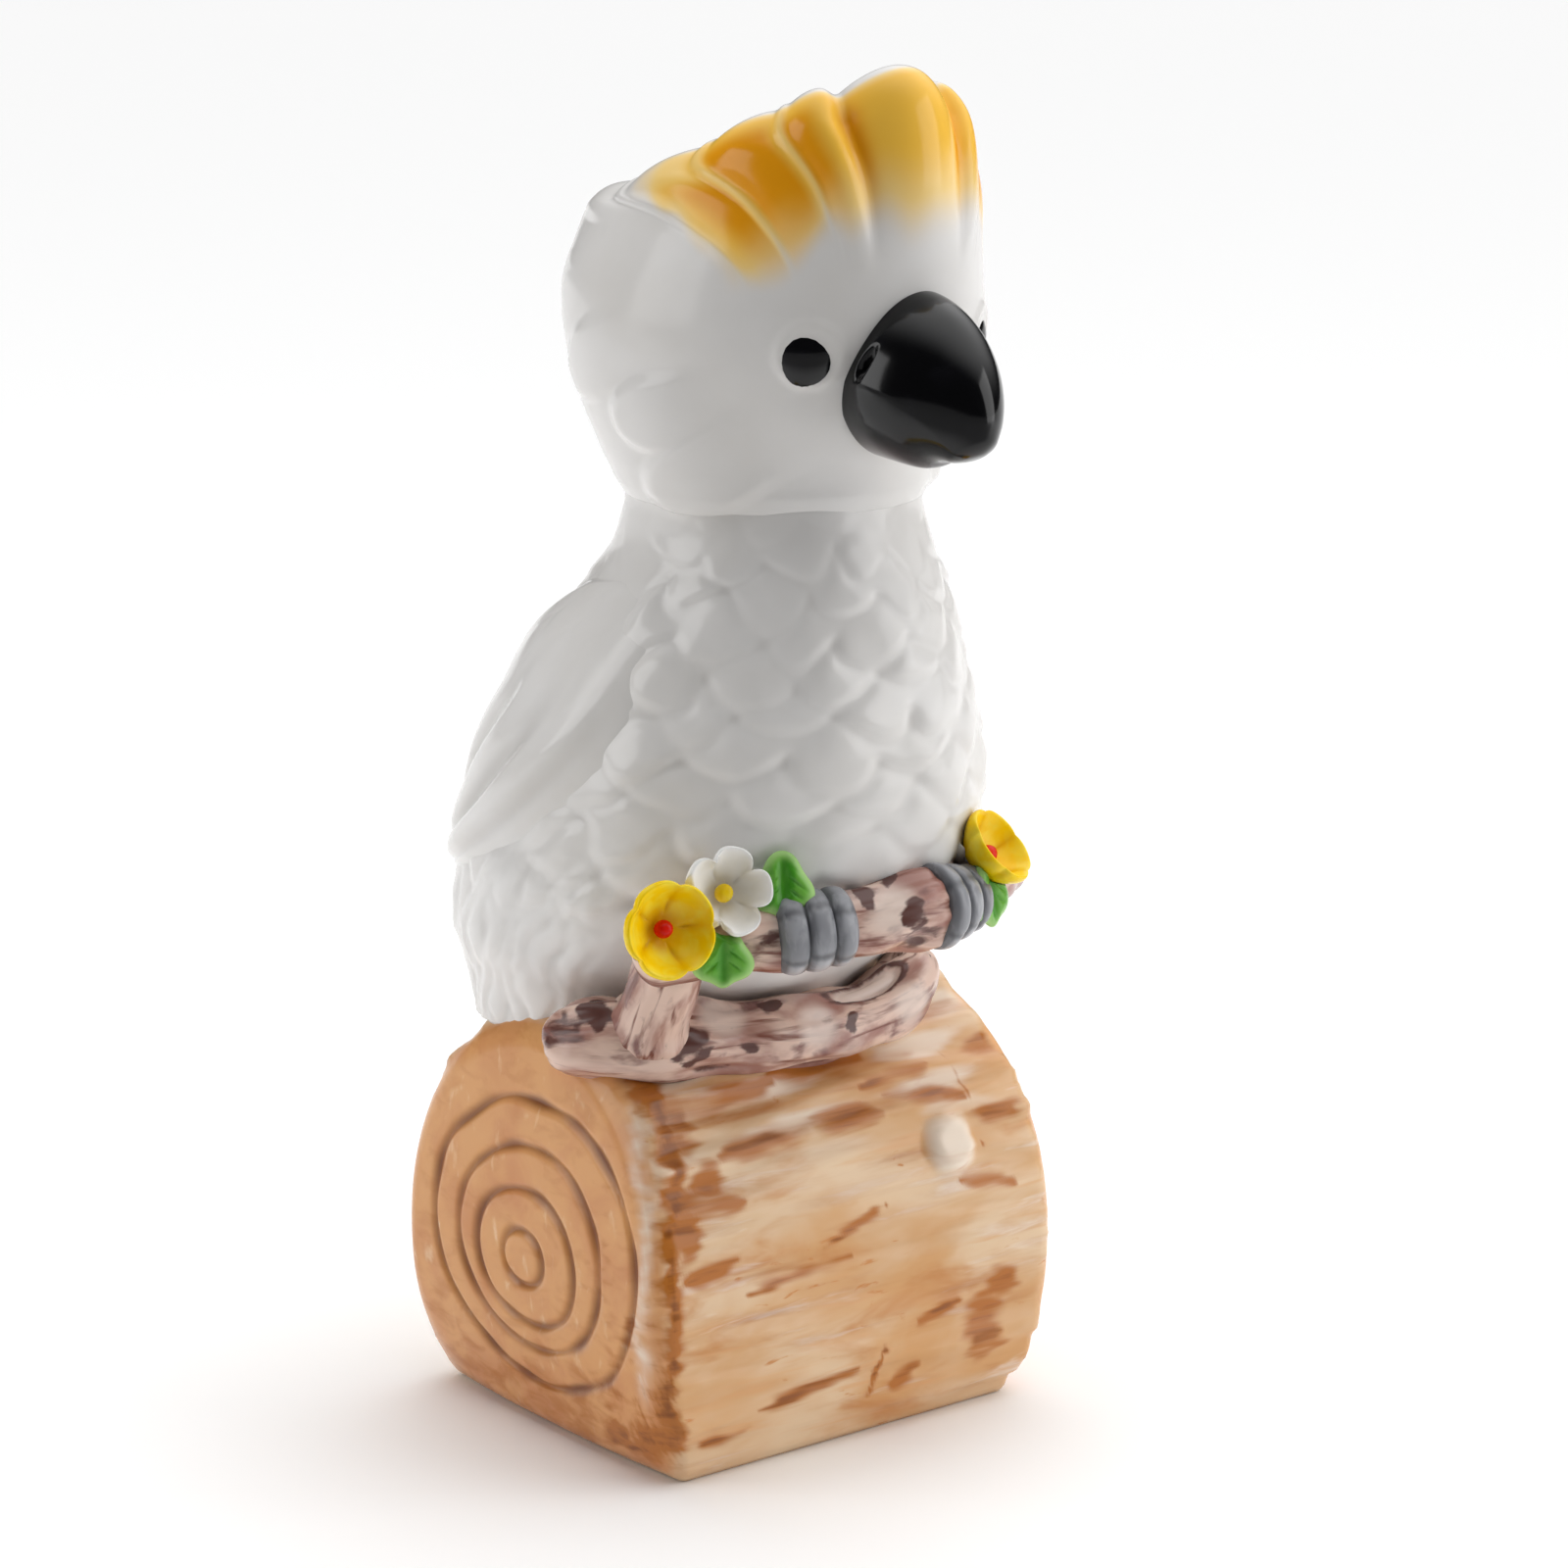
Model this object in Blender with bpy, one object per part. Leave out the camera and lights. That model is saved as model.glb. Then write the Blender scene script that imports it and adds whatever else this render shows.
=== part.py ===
"""Porcelain cockatoo perched on a sawn log, as the separate pieces a potter casts, presses and lutes together.

Metres, +Z up. The bird faces -Y, so its right side is at -X. The origin is on the table, under the middle
of the log. Each piece is pressed a little into what carries it, and its seat is then cut with an even joint
gap, so that every piece follows its neighbours when a size changes.
"""

import math
from typing import NamedTuple

import bmesh
import bpy
import numpy as np
from mathutils import Matrix, Vector

# Joints and walls of the hollow castings
JOINT_GAP = 0.0003
PRESS_DEPTH = 0.0012
CASTING_WALL = 0.0038
AIR_HOLE_DIAMETER = 0.0036
AIR_HOLE_FORWARD = 0.0100

# Log: an arched section with a flat foot, sawn at both ends
LOG_LENGTH = 0.0785
LOG_DEPTH = 0.0680
LOG_HEIGHT = 0.0660
LOG_BELLY_HEIGHT = 0.0260
LOG_FOOT_DEPTH = 0.0590
LOG_EDGE_RADIUS = 0.0040
LOG_END_ROUNDING = 0.0045
LOG_ARCH_POWER = 2.25
LOG_FOOT_POWER = 4.0
GROWTH_RING_OVAL = 8.0
PITH_BACK = 0.0040
GROWTH_RING_INSETS = (0.0280, 0.0205, 0.0140, 0.0065)  # from the bark inwards
GROWTH_RING_WIDTH = 0.0016
GROWTH_RING_DEPTH = 0.0007
KNOT_RADIUS = 0.0052
KNOT_STANDS_OUT = 0.0022
KNOT_ALONG = 0.0190
KNOT_HEIGHT = 0.0440


class Ring(NamedTuple):
    """One level of a casting: its height, half its width, and its reach before and behind the X axis."""

    height: float
    half_width: float
    front: float
    back: float


# Torso levels, with heights above the log's top, from its buried foot to the neck
TORSO_RINGS = (
    Ring(-0.0060, 0.0330, 0.0130, 0.0400),
    Ring(0.0020, 0.0345, 0.0170, 0.0420),
    Ring(0.0110, 0.0380, 0.0280, 0.0450),
    Ring(0.0200, 0.0380, 0.0365, 0.0435),
    Ring(0.0290, 0.0370, 0.0400, 0.0400),
    Ring(0.0380, 0.0355, 0.0412, 0.0368),
    Ring(0.0470, 0.0330, 0.0408, 0.0315),
    Ring(0.0560, 0.0297, 0.0397, 0.0272),
    Ring(0.0650, 0.0255, 0.0385, 0.0198),
    Ring(0.0710, 0.0228, 0.0372, 0.0150),
    Ring(0.0770, 0.0218, 0.0352, 0.0122),
    Ring(0.0800, 0.0217, 0.0346, 0.0118),
)
BREAST_FEATHERS_ROUND = 16
BREAST_FEATHER_ROWS = 9
BREAST_FEATHER_RELIEF = 0.0011
BREAST_HALF_ANGLE = 78.0
COLUMNS_PER_FEATHER = 4
BACK_COLUMNS = 12
PLAIN_SKIRT_RINGS = 2


class CrestRing(NamedTuple):
    """One level of the head: heights at front and back, half width, reaches, and how deep the crest is fluted."""

    front_height: float
    back_height: float
    half_width: float
    front: float
    back: float
    flute: float
    fan: float


# Head levels, with heights above the neck joint. Fan is 0 where the flutes are gathered at the brow.
HEAD_RINGS = (
    CrestRing(0.0000, 0.0000, 0.0225, 0.0350, 0.0120, 0.0, 1.0),
    CrestRing(0.0065, 0.0065, 0.0255, 0.0365, 0.0145, 0.0, 1.0),
    CrestRing(0.0155, 0.0155, 0.0280, 0.0420, 0.0200, 0.0, 0.7),
    CrestRing(0.0250, 0.0250, 0.0290, 0.0460, 0.0235, 0.0, 0.2),
    CrestRing(0.0345, 0.0320, 0.0280, 0.0465, 0.0240, 0.0001, 0.0),
    CrestRing(0.0490, 0.0375, 0.0255, 0.0480, 0.0235, 0.0022, 0.5),
    CrestRing(0.0605, 0.0412, 0.0235, 0.0458, 0.0220, 0.0028, 1.0),
    CrestRing(0.0645, 0.0435, 0.0185, 0.0402, 0.0170, 0.0024, 1.0),
    CrestRing(0.0600, 0.0410, 0.0100, 0.0310, 0.0060, 0.0010, 1.0),
)
CREST_SLOPE_POWER = 1.62
CREST_GROOVES_AT_RIM = (27.0, 47.0, 73.0, 106.0, 146.0, 180.0)
CREST_GROOVES_AT_BROW = (16.0, 25.0, 38.0, 52.0, 84.0, 180.0)
CREST_GROOVE_SHARES = (1.0, 0.45, 0.45, 0.50, 0.30, 0.30)  # of the level's flute depth
CREST_SCALLOP = 0.0030
COLUMNS_PER_FLUTE = 4

# Beak: reach and height of its middle line from the brow's face, half sizes, and lean of each section
BEAK_RINGS = (
    (-0.0070, -0.0142, 0.0105, 0.0122, 0.0),
    (-0.0010, -0.0142, 0.0112, 0.0126, 2.0),
    (0.0038, -0.0155, 0.0102, 0.0116, 9.0),
    (0.0076, -0.0180, 0.0082, 0.0092, 24.0),
    (0.0102, -0.0212, 0.0056, 0.0062, 46.0),
    (0.0116, -0.0245, 0.0026, 0.0030, 66.0),
)
BEAK_RIDGE = 0.16  # how much narrower the beak is along its top
EYE_RADIUS = 0.0060
EYE_ANGLE = 33.0
EYE_RING = 2.92
EYE_STANDS_OUT = 0.0014

# Wings: angle from the breast and torso level of the leading and trailing edges, shoulder to tip
WING_COURSE = (
    (96.0, 8.35, 100.0, 8.35),
    (68.0, 7.90, 128.0, 8.00),
    (61.0, 6.90, 148.0, 7.20),
    (66.0, 5.70, 158.0, 6.10),
    (82.0, 4.40, 164.0, 4.90),
    (106.0, 3.20, 167.0, 3.70),
    (136.0, 2.40, 168.0, 2.80),
    (157.0, 1.95, 166.0, 2.10),
)
WING_THICKNESS = 0.0038
WING_EDGE = 0.45
WING_BURIED = 0.0030

# Tail: half angle across the back and torso levels, rump to tip
TAIL_COURSE = ((10.0, 3.40), (20.0, 2.70), (22.0, 2.00), (21.0, 1.40), (16.0, 1.00))
TAIL_THICKNESS = 0.0050
TAIL_BURIED = 0.0030

# Lower branch: its course on the log's top as shares of half the length and half the depth, and how far it
# sinks below the arch's line where it hangs over the rounded end
LOWER_BRANCH_COURSE = (
    (-0.94, -0.12, 0.0048),
    (-0.89, -0.32, 0.0024),
    (-0.71, -0.48, 0.0004),
    (-0.38, -0.56, 0.0),
    (-0.06, -0.60, 0.0),
    (0.33, -0.58, 0.0),
    (0.55, -0.51, -0.0008),
    (0.66, -0.36, -0.0026),
)
LOWER_BRANCH_RADIUS = 0.0058
LOWER_BRANCH_TAPER = 0.0008

# Perch: a bowed branch across the breast, carried by a stump on the lower branch
PERCH_RADIUS = 0.0050
PERCH_HALF_SPAN = 0.0370
PERCH_RISE = 0.0195
PERCH_BOW = 0.0150
PERCH_DROOP = 0.0030
PERCH_RING = 2.95
PERCH_KNOT_ALONG = 0.08
PERCH_KNOT_WIDTH = 0.14
PERCH_KNOT_SWELL = 0.0011
PERCH_TIP_TAPER = 0.60
PERCH_TAPER_STARTS = 0.15
STUMP_RADIUS = 0.0050
STUMP_ALONG = -0.86
STUMP_FOOT_SHARE = 1.95

# Feet: ridged toes wrapped side by side over the perch
FOOT_ALONG = 0.342
FOOT_SHIFT = -0.037
FOOT_WIDTH = 0.0108
TOE_COUNT = 3
TOE_STANDS_OUT = 0.0021
TOE_GROOVE = 0.40
TOE_BURIED = 0.0012
TOE_WRAP_START = -6.0
TOE_WRAP_END = 165.0

# Flowers and leaves, pressed from thin clay
PETAL_COUNT = 5
PETAL_NOTCH = 0.14
PETAL_THICKNESS = 0.0017
FLOWER_CUP = 0.0034
BEAD_RADIUS = 0.0014
LEAF_THICKNESS = 0.0022
LEAF_VEIN = 0.0006
LEAF_LOBES = 0.16
LEAF_STEM = 0.30


class Sprig(NamedTuple):
    """A pressed flower or leaf: where it sits on the perch, which way it stands off and which way it faces."""

    name: str
    along: float
    stand_azimuth: float
    stand_elevation: float
    stand_off: float
    face_azimuth: float
    face_elevation: float
    radius: float


YELLOW_FLOWERS = (
    Sprig("right_yellow_flower", -0.82, -70.0, 31.0, 0.0083, -10.0, 10.0, 0.0073),
    Sprig("left_yellow_flower", 0.54, 0.0, 73.0, 0.0062, 30.0, 39.0, 0.0064),
)
WHITE_FLOWERS = (
    Sprig("right_white_flower", -0.73, 1.0, 77.0, 0.0080, -18.0, 18.0, 0.0067),
    Sprig("left_white_flower", 0.49, 146.0, 66.0, 0.0062, 0.0, 50.0, 0.0042),
)
LEAVES = (
    Sprig("right_upper_leaf", -0.515, -6.0, 73.0, 0.0083, -30.0, 14.0, 0.0044),
    Sprig("right_lower_leaf", -0.79, 0.0, -3.0, 0.0064, -30.0, -4.0, 0.0043),
    Sprig("left_leaf", 0.56, -25.0, 14.0, 0.0068, 20.0, 8.0, 0.0047),
)

WELD_DISTANCE = 1e-6
NECK_HEIGHT = LOG_HEIGHT + TORSO_RINGS[-1].height

SIDES = (("right", -1.0), ("left", 1.0))


# Scene and materials


def clear_scene():
    """Removes every object, and makes the collections for the pieces and for their cutters."""
    for old in list(bpy.data.objects):
        bpy.data.objects.remove(old)
    for name in ("porcelain_cockatoo", "cutters"):
        collection = bpy.data.collections.new(name)
        bpy.context.scene.collection.children.link(collection)


def glaze(name, colour, roughness):
    """A glossy fired glaze of one colour."""
    material = bpy.data.materials.new(name)
    material.use_nodes = True
    shader = material.node_tree.nodes["Principled BSDF"]
    shader.inputs["Base Color"].default_value = (*colour, 1.0)
    shader.inputs["Roughness"].default_value = roughness
    shader.inputs["Metallic"].default_value = 0.0
    return material


# Mesh helpers


def spline(points, at):
    """The point at a place along a smooth curve through the points, where 0 is the first and 1 the second."""
    points = np.asarray(points, float)
    last = len(points) - 1
    index = min(max(int(math.floor(at)), 0), last - 1)
    share = at - index
    before = points[index - 1] if index > 0 else 2 * points[0] - points[1]
    start, end = points[index], points[index + 1]
    after = points[index + 2] if index + 2 <= last else 2 * points[last] - points[last - 1]
    slope_in, slope_out = (end - before) / 2, (after - start) / 2
    square, cube = share**2, share**3
    return (
        (2 * cube - 3 * square + 1) * start
        + (cube - 2 * square + share) * slope_in
        + (3 * square - 2 * cube) * end
        + (cube - square) * slope_out
    )


def signed_power(value, power):
    """A power that keeps the sign, for superellipse outlines."""
    return math.copysign(abs(value) ** power, value)


def add_piece(name, mesh_data, material=None, collection="porcelain_cockatoo"):
    """Puts a mesh in the scene as a named object with smooth shading on its round faces."""
    mesh_data.shade_smooth()
    mesh_data.set_sharp_from_angle(angle=math.radians(50))
    piece = bpy.data.objects.new(name, mesh_data)
    if material:
        mesh_data.materials.clear()
        mesh_data.materials.append(material)
    bpy.data.collections[collection].objects.link(piece)
    return piece


def wrapped(name, columns, rows, place, material=None, collection="porcelain_cockatoo"):
    """A closed skin: a grid rolled up along its columns, with both end rows drawn to a point.

    place(turn, step) gives the point at a share of the way round and a share of the way along.
    """
    skin = bmesh.new()
    bmesh.ops.create_grid(skin, x_segments=columns, y_segments=rows, size=0.5)
    for vert in skin.verts:
        turn = round((vert.co.x + 0.5) * columns) / columns
        step = round((vert.co.y + 0.5) * rows) / rows
        vert.co = place(turn, step)
    bmesh.ops.remove_doubles(skin, verts=skin.verts, dist=WELD_DISTANCE)
    bmesh.ops.triangulate(skin, faces=skin.faces)
    bmesh.ops.recalc_face_normals(skin, faces=skin.faces)
    mesh_data = bpy.data.meshes.new(name)
    skin.to_mesh(mesh_data)
    skin.free()
    return add_piece(name, mesh_data, material, collection)


def helper(piece):
    """Marks an object as a cutter, which is no part of the figurine."""
    piece.hide_render = True
    piece.display_type = "WIRE"
    return piece


def bake(piece):
    """Applies a piece's modifiers and leaves only its largest body, without the crumbs of a cut."""
    bpy.context.view_layer.update()
    graph = bpy.context.evaluated_depsgraph_get()
    baked = bpy.data.meshes.new_from_object(piece.evaluated_get(graph))
    skin = bmesh.new()
    skin.from_mesh(baked)
    bmesh.ops.remove_doubles(skin, verts=skin.verts, dist=WELD_DISTANCE)
    drop_crumbs(skin)
    skin.to_mesh(baked)
    skin.free()
    piece.modifiers.clear()
    piece.data = baked
    return piece


def skin_area(verts):
    """The area of all faces round some vertices."""
    faces = {face for vert in verts for face in vert.link_faces}
    return sum(face.calc_area() for face in faces)


def drop_crumbs(skin):
    """Deletes every connected part of a mesh but the one with the largest skin."""
    left = set(skin.verts)
    parts = []
    while left:
        front = [left.pop()]
        part = set(front)
        while front:
            vert = front.pop()
            for edge in vert.link_edges:
                other = edge.other_vert(vert)
                if other in left:
                    left.discard(other)
                    part.add(other)
                    front.append(other)
        parts.append(part)
    main = max(parts, key=skin_area)
    crumbs = [vert for vert in skin.verts if vert not in main]
    bmesh.ops.delete(skin, geom=crumbs, context="VERTS")


def keep_clearance(piece, skins=None):
    """Keeps copies of a piece's whole skins, larger by the joint gap, that cut the seats of its neighbours."""
    for index, skin in enumerate(skins or [piece]):
        copy = bpy.data.objects.new(f"{piece.name}_clearance_{index}", skin.data.copy())
        bpy.data.collections["cutters"].objects.link(copy)
        swell = copy.modifiers.new("joint gap", "DISPLACE")
        swell.strength = JOINT_GAP
        swell.mid_level = 0.0
        helper(copy)


def clearances(piece):
    """The clearance copies that were kept of a piece."""
    cutters = bpy.data.collections["cutters"].objects
    return [cutter for cutter in cutters if cutter.name.startswith(piece.name + "_clearance")]


def boxes_meet(one, other):
    """Whether the boxes round two meshes come within the joint gap of each other."""
    first = np.array([vert.co for vert in one.data.vertices])
    second = np.array([vert.co for vert in other.data.vertices])
    reach = 2 * JOINT_GAP
    apart = (first.min(0) > second.max(0) + reach) | (second.min(0) > first.max(0) + reach)
    return not apart.any()


def boolean(piece, other, operation="DIFFERENCE"):
    """Adds one Boolean step to a piece."""
    step = piece.modifiers.new(f"{operation.lower()} {other.name}", "BOOLEAN")
    step.operation = operation
    step.solver = "EXACT"
    step.object = other


def seat(piece, carriers, skins=None):
    """Keeps a piece's clearance, cuts the piece free of the pieces that it is pressed on, and bakes it."""
    keep_clearance(piece, skins)
    for carrier in carriers:
        for cutter in clearances(carrier):
            if any(boxes_meet(skin, cutter) for skin in skins or [piece]):
                boolean(piece, cutter)
    return bake(piece)


def tube(name, path, radii, sides_level, material=None, collection="porcelain_cockatoo"):
    """A round branch or toe along a path of points, as a mesh with closed caps."""
    data = bpy.data.curves.new(name, "CURVE")
    data.dimensions = "3D"
    data.bevel_depth = 1.0
    data.bevel_resolution = sides_level
    data.use_fill_caps = True
    line = data.splines.new("POLY")
    line.points.add(len(path) - 1)
    for point, place, radius in zip(line.points, path, radii):
        point.co = (*place, 1.0)
        point.radius = radius
    curve = bpy.data.objects.new(name + "_path", data)
    bpy.data.collections["cutters"].objects.link(curve)
    bpy.context.view_layer.update()
    graph = bpy.context.evaluated_depsgraph_get()
    mesh_data = bpy.data.meshes.new_from_object(curve.evaluated_get(graph))
    bpy.data.objects.remove(curve)
    skin = bmesh.new()
    skin.from_mesh(mesh_data)
    bmesh.ops.remove_doubles(skin, verts=skin.verts, dist=WELD_DISTANCE)
    bmesh.ops.triangulate(skin, faces=skin.faces)
    bmesh.ops.recalc_face_normals(skin, faces=skin.faces)
    skin.to_mesh(mesh_data)
    skin.free()
    mesh_data.name = name
    return add_piece(name, mesh_data, material, collection)


def ball(name, radius, centre, stretch=(1.0, 1.0, 1.0), segments=16, material=None):
    """A ball or a flattened ball."""
    skin = bmesh.new()
    shape = Matrix.Translation(centre) @ Matrix.Diagonal((*stretch, 1.0))
    bmesh.ops.create_uvsphere(
        skin, u_segments=segments, v_segments=segments // 2, radius=radius, matrix=shape
    )
    bmesh.ops.triangulate(skin, faces=skin.faces)
    mesh_data = bpy.data.meshes.new(name)
    skin.to_mesh(mesh_data)
    skin.free()
    return add_piece(name, mesh_data, material)


def facing(azimuth, elevation):
    """The direction at an angle round from the breast, positive to the bird's left, and above the horizon."""
    around, up = math.radians(azimuth), math.radians(elevation)
    return Vector((math.sin(around) * math.cos(up), -math.cos(around) * math.cos(up), math.sin(up)))


# Log


def log_section(turn, inset=0.0):
    """A point of the log's arched outline in Y and Z, set in by a wall, with its foot cut flat."""
    angle = 2 * math.pi * turn
    half_depth = LOG_DEPTH / 2
    foot_share = (LOG_FOOT_DEPTH / LOG_DEPTH) ** LOG_FOOT_POWER
    below = LOG_BELLY_HEIGHT / (1 - foot_share) ** (1 / LOG_FOOT_POWER)
    rising = math.sin(angle) >= 0
    power = 2 / (LOG_ARCH_POWER if rising else LOG_FOOT_POWER)
    reach = (LOG_HEIGHT - LOG_BELLY_HEIGHT if rising else below) - inset
    across = (half_depth - inset) * signed_power(math.cos(angle), power)
    height = LOG_BELLY_HEIGHT + reach * signed_power(math.sin(angle), power)
    return across, max(height, inset)


def log_half_length(height):
    """Half the log's length at a height: its ends are fullest at the belly."""
    reach = LOG_HEIGHT - LOG_BELLY_HEIGHT if height > LOG_BELLY_HEIGHT else LOG_BELLY_HEIGHT
    return LOG_LENGTH / 2 - LOG_END_ROUNDING * ((height - LOG_BELLY_HEIGHT) / reach) ** 2


def log_oval(turn):
    """A point of the plain oval that the growth rings come nearer to towards the pith."""
    angle = 2 * math.pi * turn
    reach = LOG_HEIGHT - LOG_BELLY_HEIGHT if math.sin(angle) >= 0 else LOG_BELLY_HEIGHT
    return LOG_DEPTH / 2 * math.cos(angle), LOG_BELLY_HEIGHT + reach * math.sin(angle)


def log_top(across):
    """The height of the log's arched top at a distance from its middle."""
    share = min(abs(across) / (LOG_DEPTH / 2), 1.0)
    rise = LOG_HEIGHT - LOG_BELLY_HEIGHT
    return LOG_BELLY_HEIGHT + rise * (1 - share**LOG_ARCH_POWER) ** (1 / LOG_ARCH_POWER)


def log_end_rows():
    """The rows of one sawn end, pith to edge: how far in from the end, and the share of the full outline."""
    half_depth = LOG_DEPTH / 2
    rows = [(0.0, 0.0)]
    for inset in GROWTH_RING_INSETS:
        for side, depth in ((-0.5, 0.0), (0.0, GROWTH_RING_DEPTH), (0.5, 0.0)):
            rows.append((depth, 1 - (inset - side * GROWTH_RING_WIDTH) / half_depth))
    for angle in (0.0, 45.0, 90.0):
        lean = math.radians(angle)
        inwards = LOG_EDGE_RADIUS * (1 - math.sin(lean))
        rows.append((LOG_EDGE_RADIUS * (1 - math.cos(lean)), 1 - inwards / half_depth))
    return rows


def build_log(material):
    """The hollow log: sawn ends with cut growth rings, a knot on the front, and drilled air holes."""
    end = log_end_rows()
    rows = [(-1.0, depth, share) for depth, share in end]
    rows += [(1.0, depth, share) for depth, share in reversed(end)]

    def place(turn, step):
        side, depth, share = rows[round(step * (len(rows) - 1))]
        across, height = log_section(turn)
        round_across, round_height = log_oval(turn)
        outer = share**GROWTH_RING_OVAL
        across = round_across + (across - round_across) * outer
        height = round_height + (height - round_height) * outer
        height = LOG_BELLY_HEIGHT + (height - LOG_BELLY_HEIGHT) * share
        along = side * (log_half_length(height) - depth)
        return (along, PITH_BACK + (across - PITH_BACK) * share, height)

    log = wrapped("log", 36, len(rows) - 1, place, material)
    keep_clearance(log)
    knot_place = (KNOT_ALONG, -log_half_depth(KNOT_HEIGHT), KNOT_HEIGHT)
    knot = helper(ball("knot", KNOT_RADIUS, knot_place, (1.0, 2 * KNOT_STANDS_OUT / KNOT_RADIUS, 1.0), 12))
    boolean(log, knot, "UNION")
    boolean(log, log_core())
    boolean(log, air_drill())
    return bake(log)


def log_half_depth(height):
    """Half the log's depth at a height above its belly."""
    share = (height - LOG_BELLY_HEIGHT) / (LOG_HEIGHT - LOG_BELLY_HEIGHT)
    return LOG_DEPTH / 2 * (1 - share**LOG_ARCH_POWER) ** (1 / LOG_ARCH_POWER)


def log_core():
    """The drained hollow of the log, a wall's thickness inside its outline."""
    half = LOG_LENGTH / 2 - LOG_END_ROUNDING - CASTING_WALL
    places = ((-half, 0.0), (-half, 1.0), (half, 1.0), (half, 0.0))

    def place(turn, step):
        along, share = places[round(step * 3)]
        across, height = log_section(turn, CASTING_WALL)
        return (along, across * share, LOG_BELLY_HEIGHT + (height - LOG_BELLY_HEIGHT) * share)

    return helper(wrapped("log_core", 24, 3, place, collection="cutters"))


def air_drill():
    """One straight drill through the log's foot and top, the torso's ends and the head's floor."""
    skin = bmesh.new()
    top = NECK_HEIGHT + 3 * CASTING_WALL
    bottom = -CASTING_WALL
    middle = Matrix.Translation((0.0, -AIR_HOLE_FORWARD, (top + bottom) / 2))
    radius = AIR_HOLE_DIAMETER / 2
    bmesh.ops.create_cone(
        skin, cap_ends=True, segments=12, radius1=radius, radius2=radius, depth=top - bottom, matrix=middle
    )
    mesh_data = bpy.data.meshes.new("air_drill")
    skin.to_mesh(mesh_data)
    skin.free()
    return helper(add_piece("air_drill", mesh_data, collection="cutters"))


# Torso


def torso_ring(level):
    """The torso's ring at a level, where 0 is its foot and the last its neck."""
    return Ring(*spline(TORSO_RINGS, level))


def ring_point(half_width, front, back, angle, height):
    """A point on an oval ring, at an angle in degrees round from the breast."""
    around = math.radians(angle)
    middle, half_depth = (back - front) / 2, (back + front) / 2
    return Vector((half_width * math.sin(around), middle - half_depth * math.cos(around), height))


def torso_point(angle, level, lift=0.0):
    """A point of the torso's plain skin, lifted off it along its outward direction."""
    ring = torso_ring(level)
    point = ring_point(ring.half_width, ring.front, ring.back, angle, LOG_HEIGHT + ring.height)
    if lift:
        point += torso_outward(angle, level) * float(lift)
    return point


def torso_outward(angle, level):
    """The outward direction of the torso's plain skin."""
    nudge = 0.05
    across = torso_point(angle + 1, level) - torso_point(angle - 1, level)
    above = torso_point(angle, min(level + nudge, len(TORSO_RINGS) - 1))
    upward = above - torso_point(angle, level - nudge)
    return across.cross(upward).normalized()


def feather_relief(angle, row):
    """How far the overlapping breast feathers stand out, from 0 to 1, at a count of rows below the neck."""
    width = 360.0 / BREAST_FEATHERS_ROUND
    first = math.floor(row) - 1
    for index in (first, first + 1):
        offset = (angle / width + 0.5 * (index % 2)) % 1.0 - 0.5
        tip = index + 1.0 + 0.5 * (1 - 4 * offset**2)
        if row <= tip:
            return max(0.0, 1.0 - (tip - row)) ** 2
    return 0.0


def breast_share(angle):
    """1 on the breast, fading to 0 where the wings and flanks begin."""
    turned = abs((angle + 180.0) % 360.0 - 180.0)
    return min(max((BREAST_HALF_ANGLE - turned) / 15.0, 0.0), 1.0)


def torso_columns():
    """The angles of the torso's columns: a few to each breast feather, and wider ones over the back."""
    width = 360.0 / BREAST_FEATHERS_ROUND
    feathers = math.ceil(BREAST_HALF_ANGLE / width)
    front = np.linspace(-feathers * width, feathers * width, 2 * feathers * COLUMNS_PER_FEATHER + 1)
    back = np.linspace(front[-1], 360.0 + front[0], BACK_COLUMNS + 1)
    return [*front, *back[1:]]


def build_torso(log, material):
    """The hollow torso with its feathered breast, cut to sit on the log."""
    top = len(TORSO_RINGS) - 1
    feathered = BREAST_FEATHER_ROWS * 2
    columns = torso_columns()
    levels = list(np.linspace(0.0, PLAIN_SKIRT_RINGS, 3))
    levels += list(np.linspace(PLAIN_SKIRT_RINGS, top, feathered + 1)[1:])
    rows = len(levels) + 1

    def place(turn, step):
        index = round(step * rows)
        angle = columns[round(turn * (len(columns) - 1))]
        if index in (0, rows):
            return ring_centre(TORSO_RINGS[0 if index == 0 else top])
        level = levels[index - 1]
        row = (top - level) / (top - PLAIN_SKIRT_RINGS) * BREAST_FEATHER_ROWS
        above_skirt = min(max(level - PLAIN_SKIRT_RINGS, 0.0), 1.0) * min(row, 1.0)
        relief = feather_relief(angle, row) * breast_share(angle) * above_skirt
        return torso_point(angle, level, BREAST_FEATHER_RELIEF * relief)

    torso = wrapped("torso", len(columns) - 1, rows, place, material)
    boolean(torso, torso_core())
    boolean(torso, bpy.data.objects["air_drill"])
    return seat(torso, [log])


def torso_ring_at(height):
    """The torso's ring at a height above the log's top."""
    level = np.interp(height, [ring.height for ring in TORSO_RINGS], range(len(TORSO_RINGS)))
    return torso_ring(level)._replace(height=height)


def ring_centre(ring):
    """The middle of a torso ring."""
    return Vector((0.0, (ring.back - ring.front) / 2, LOG_HEIGHT + ring.height))


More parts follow.
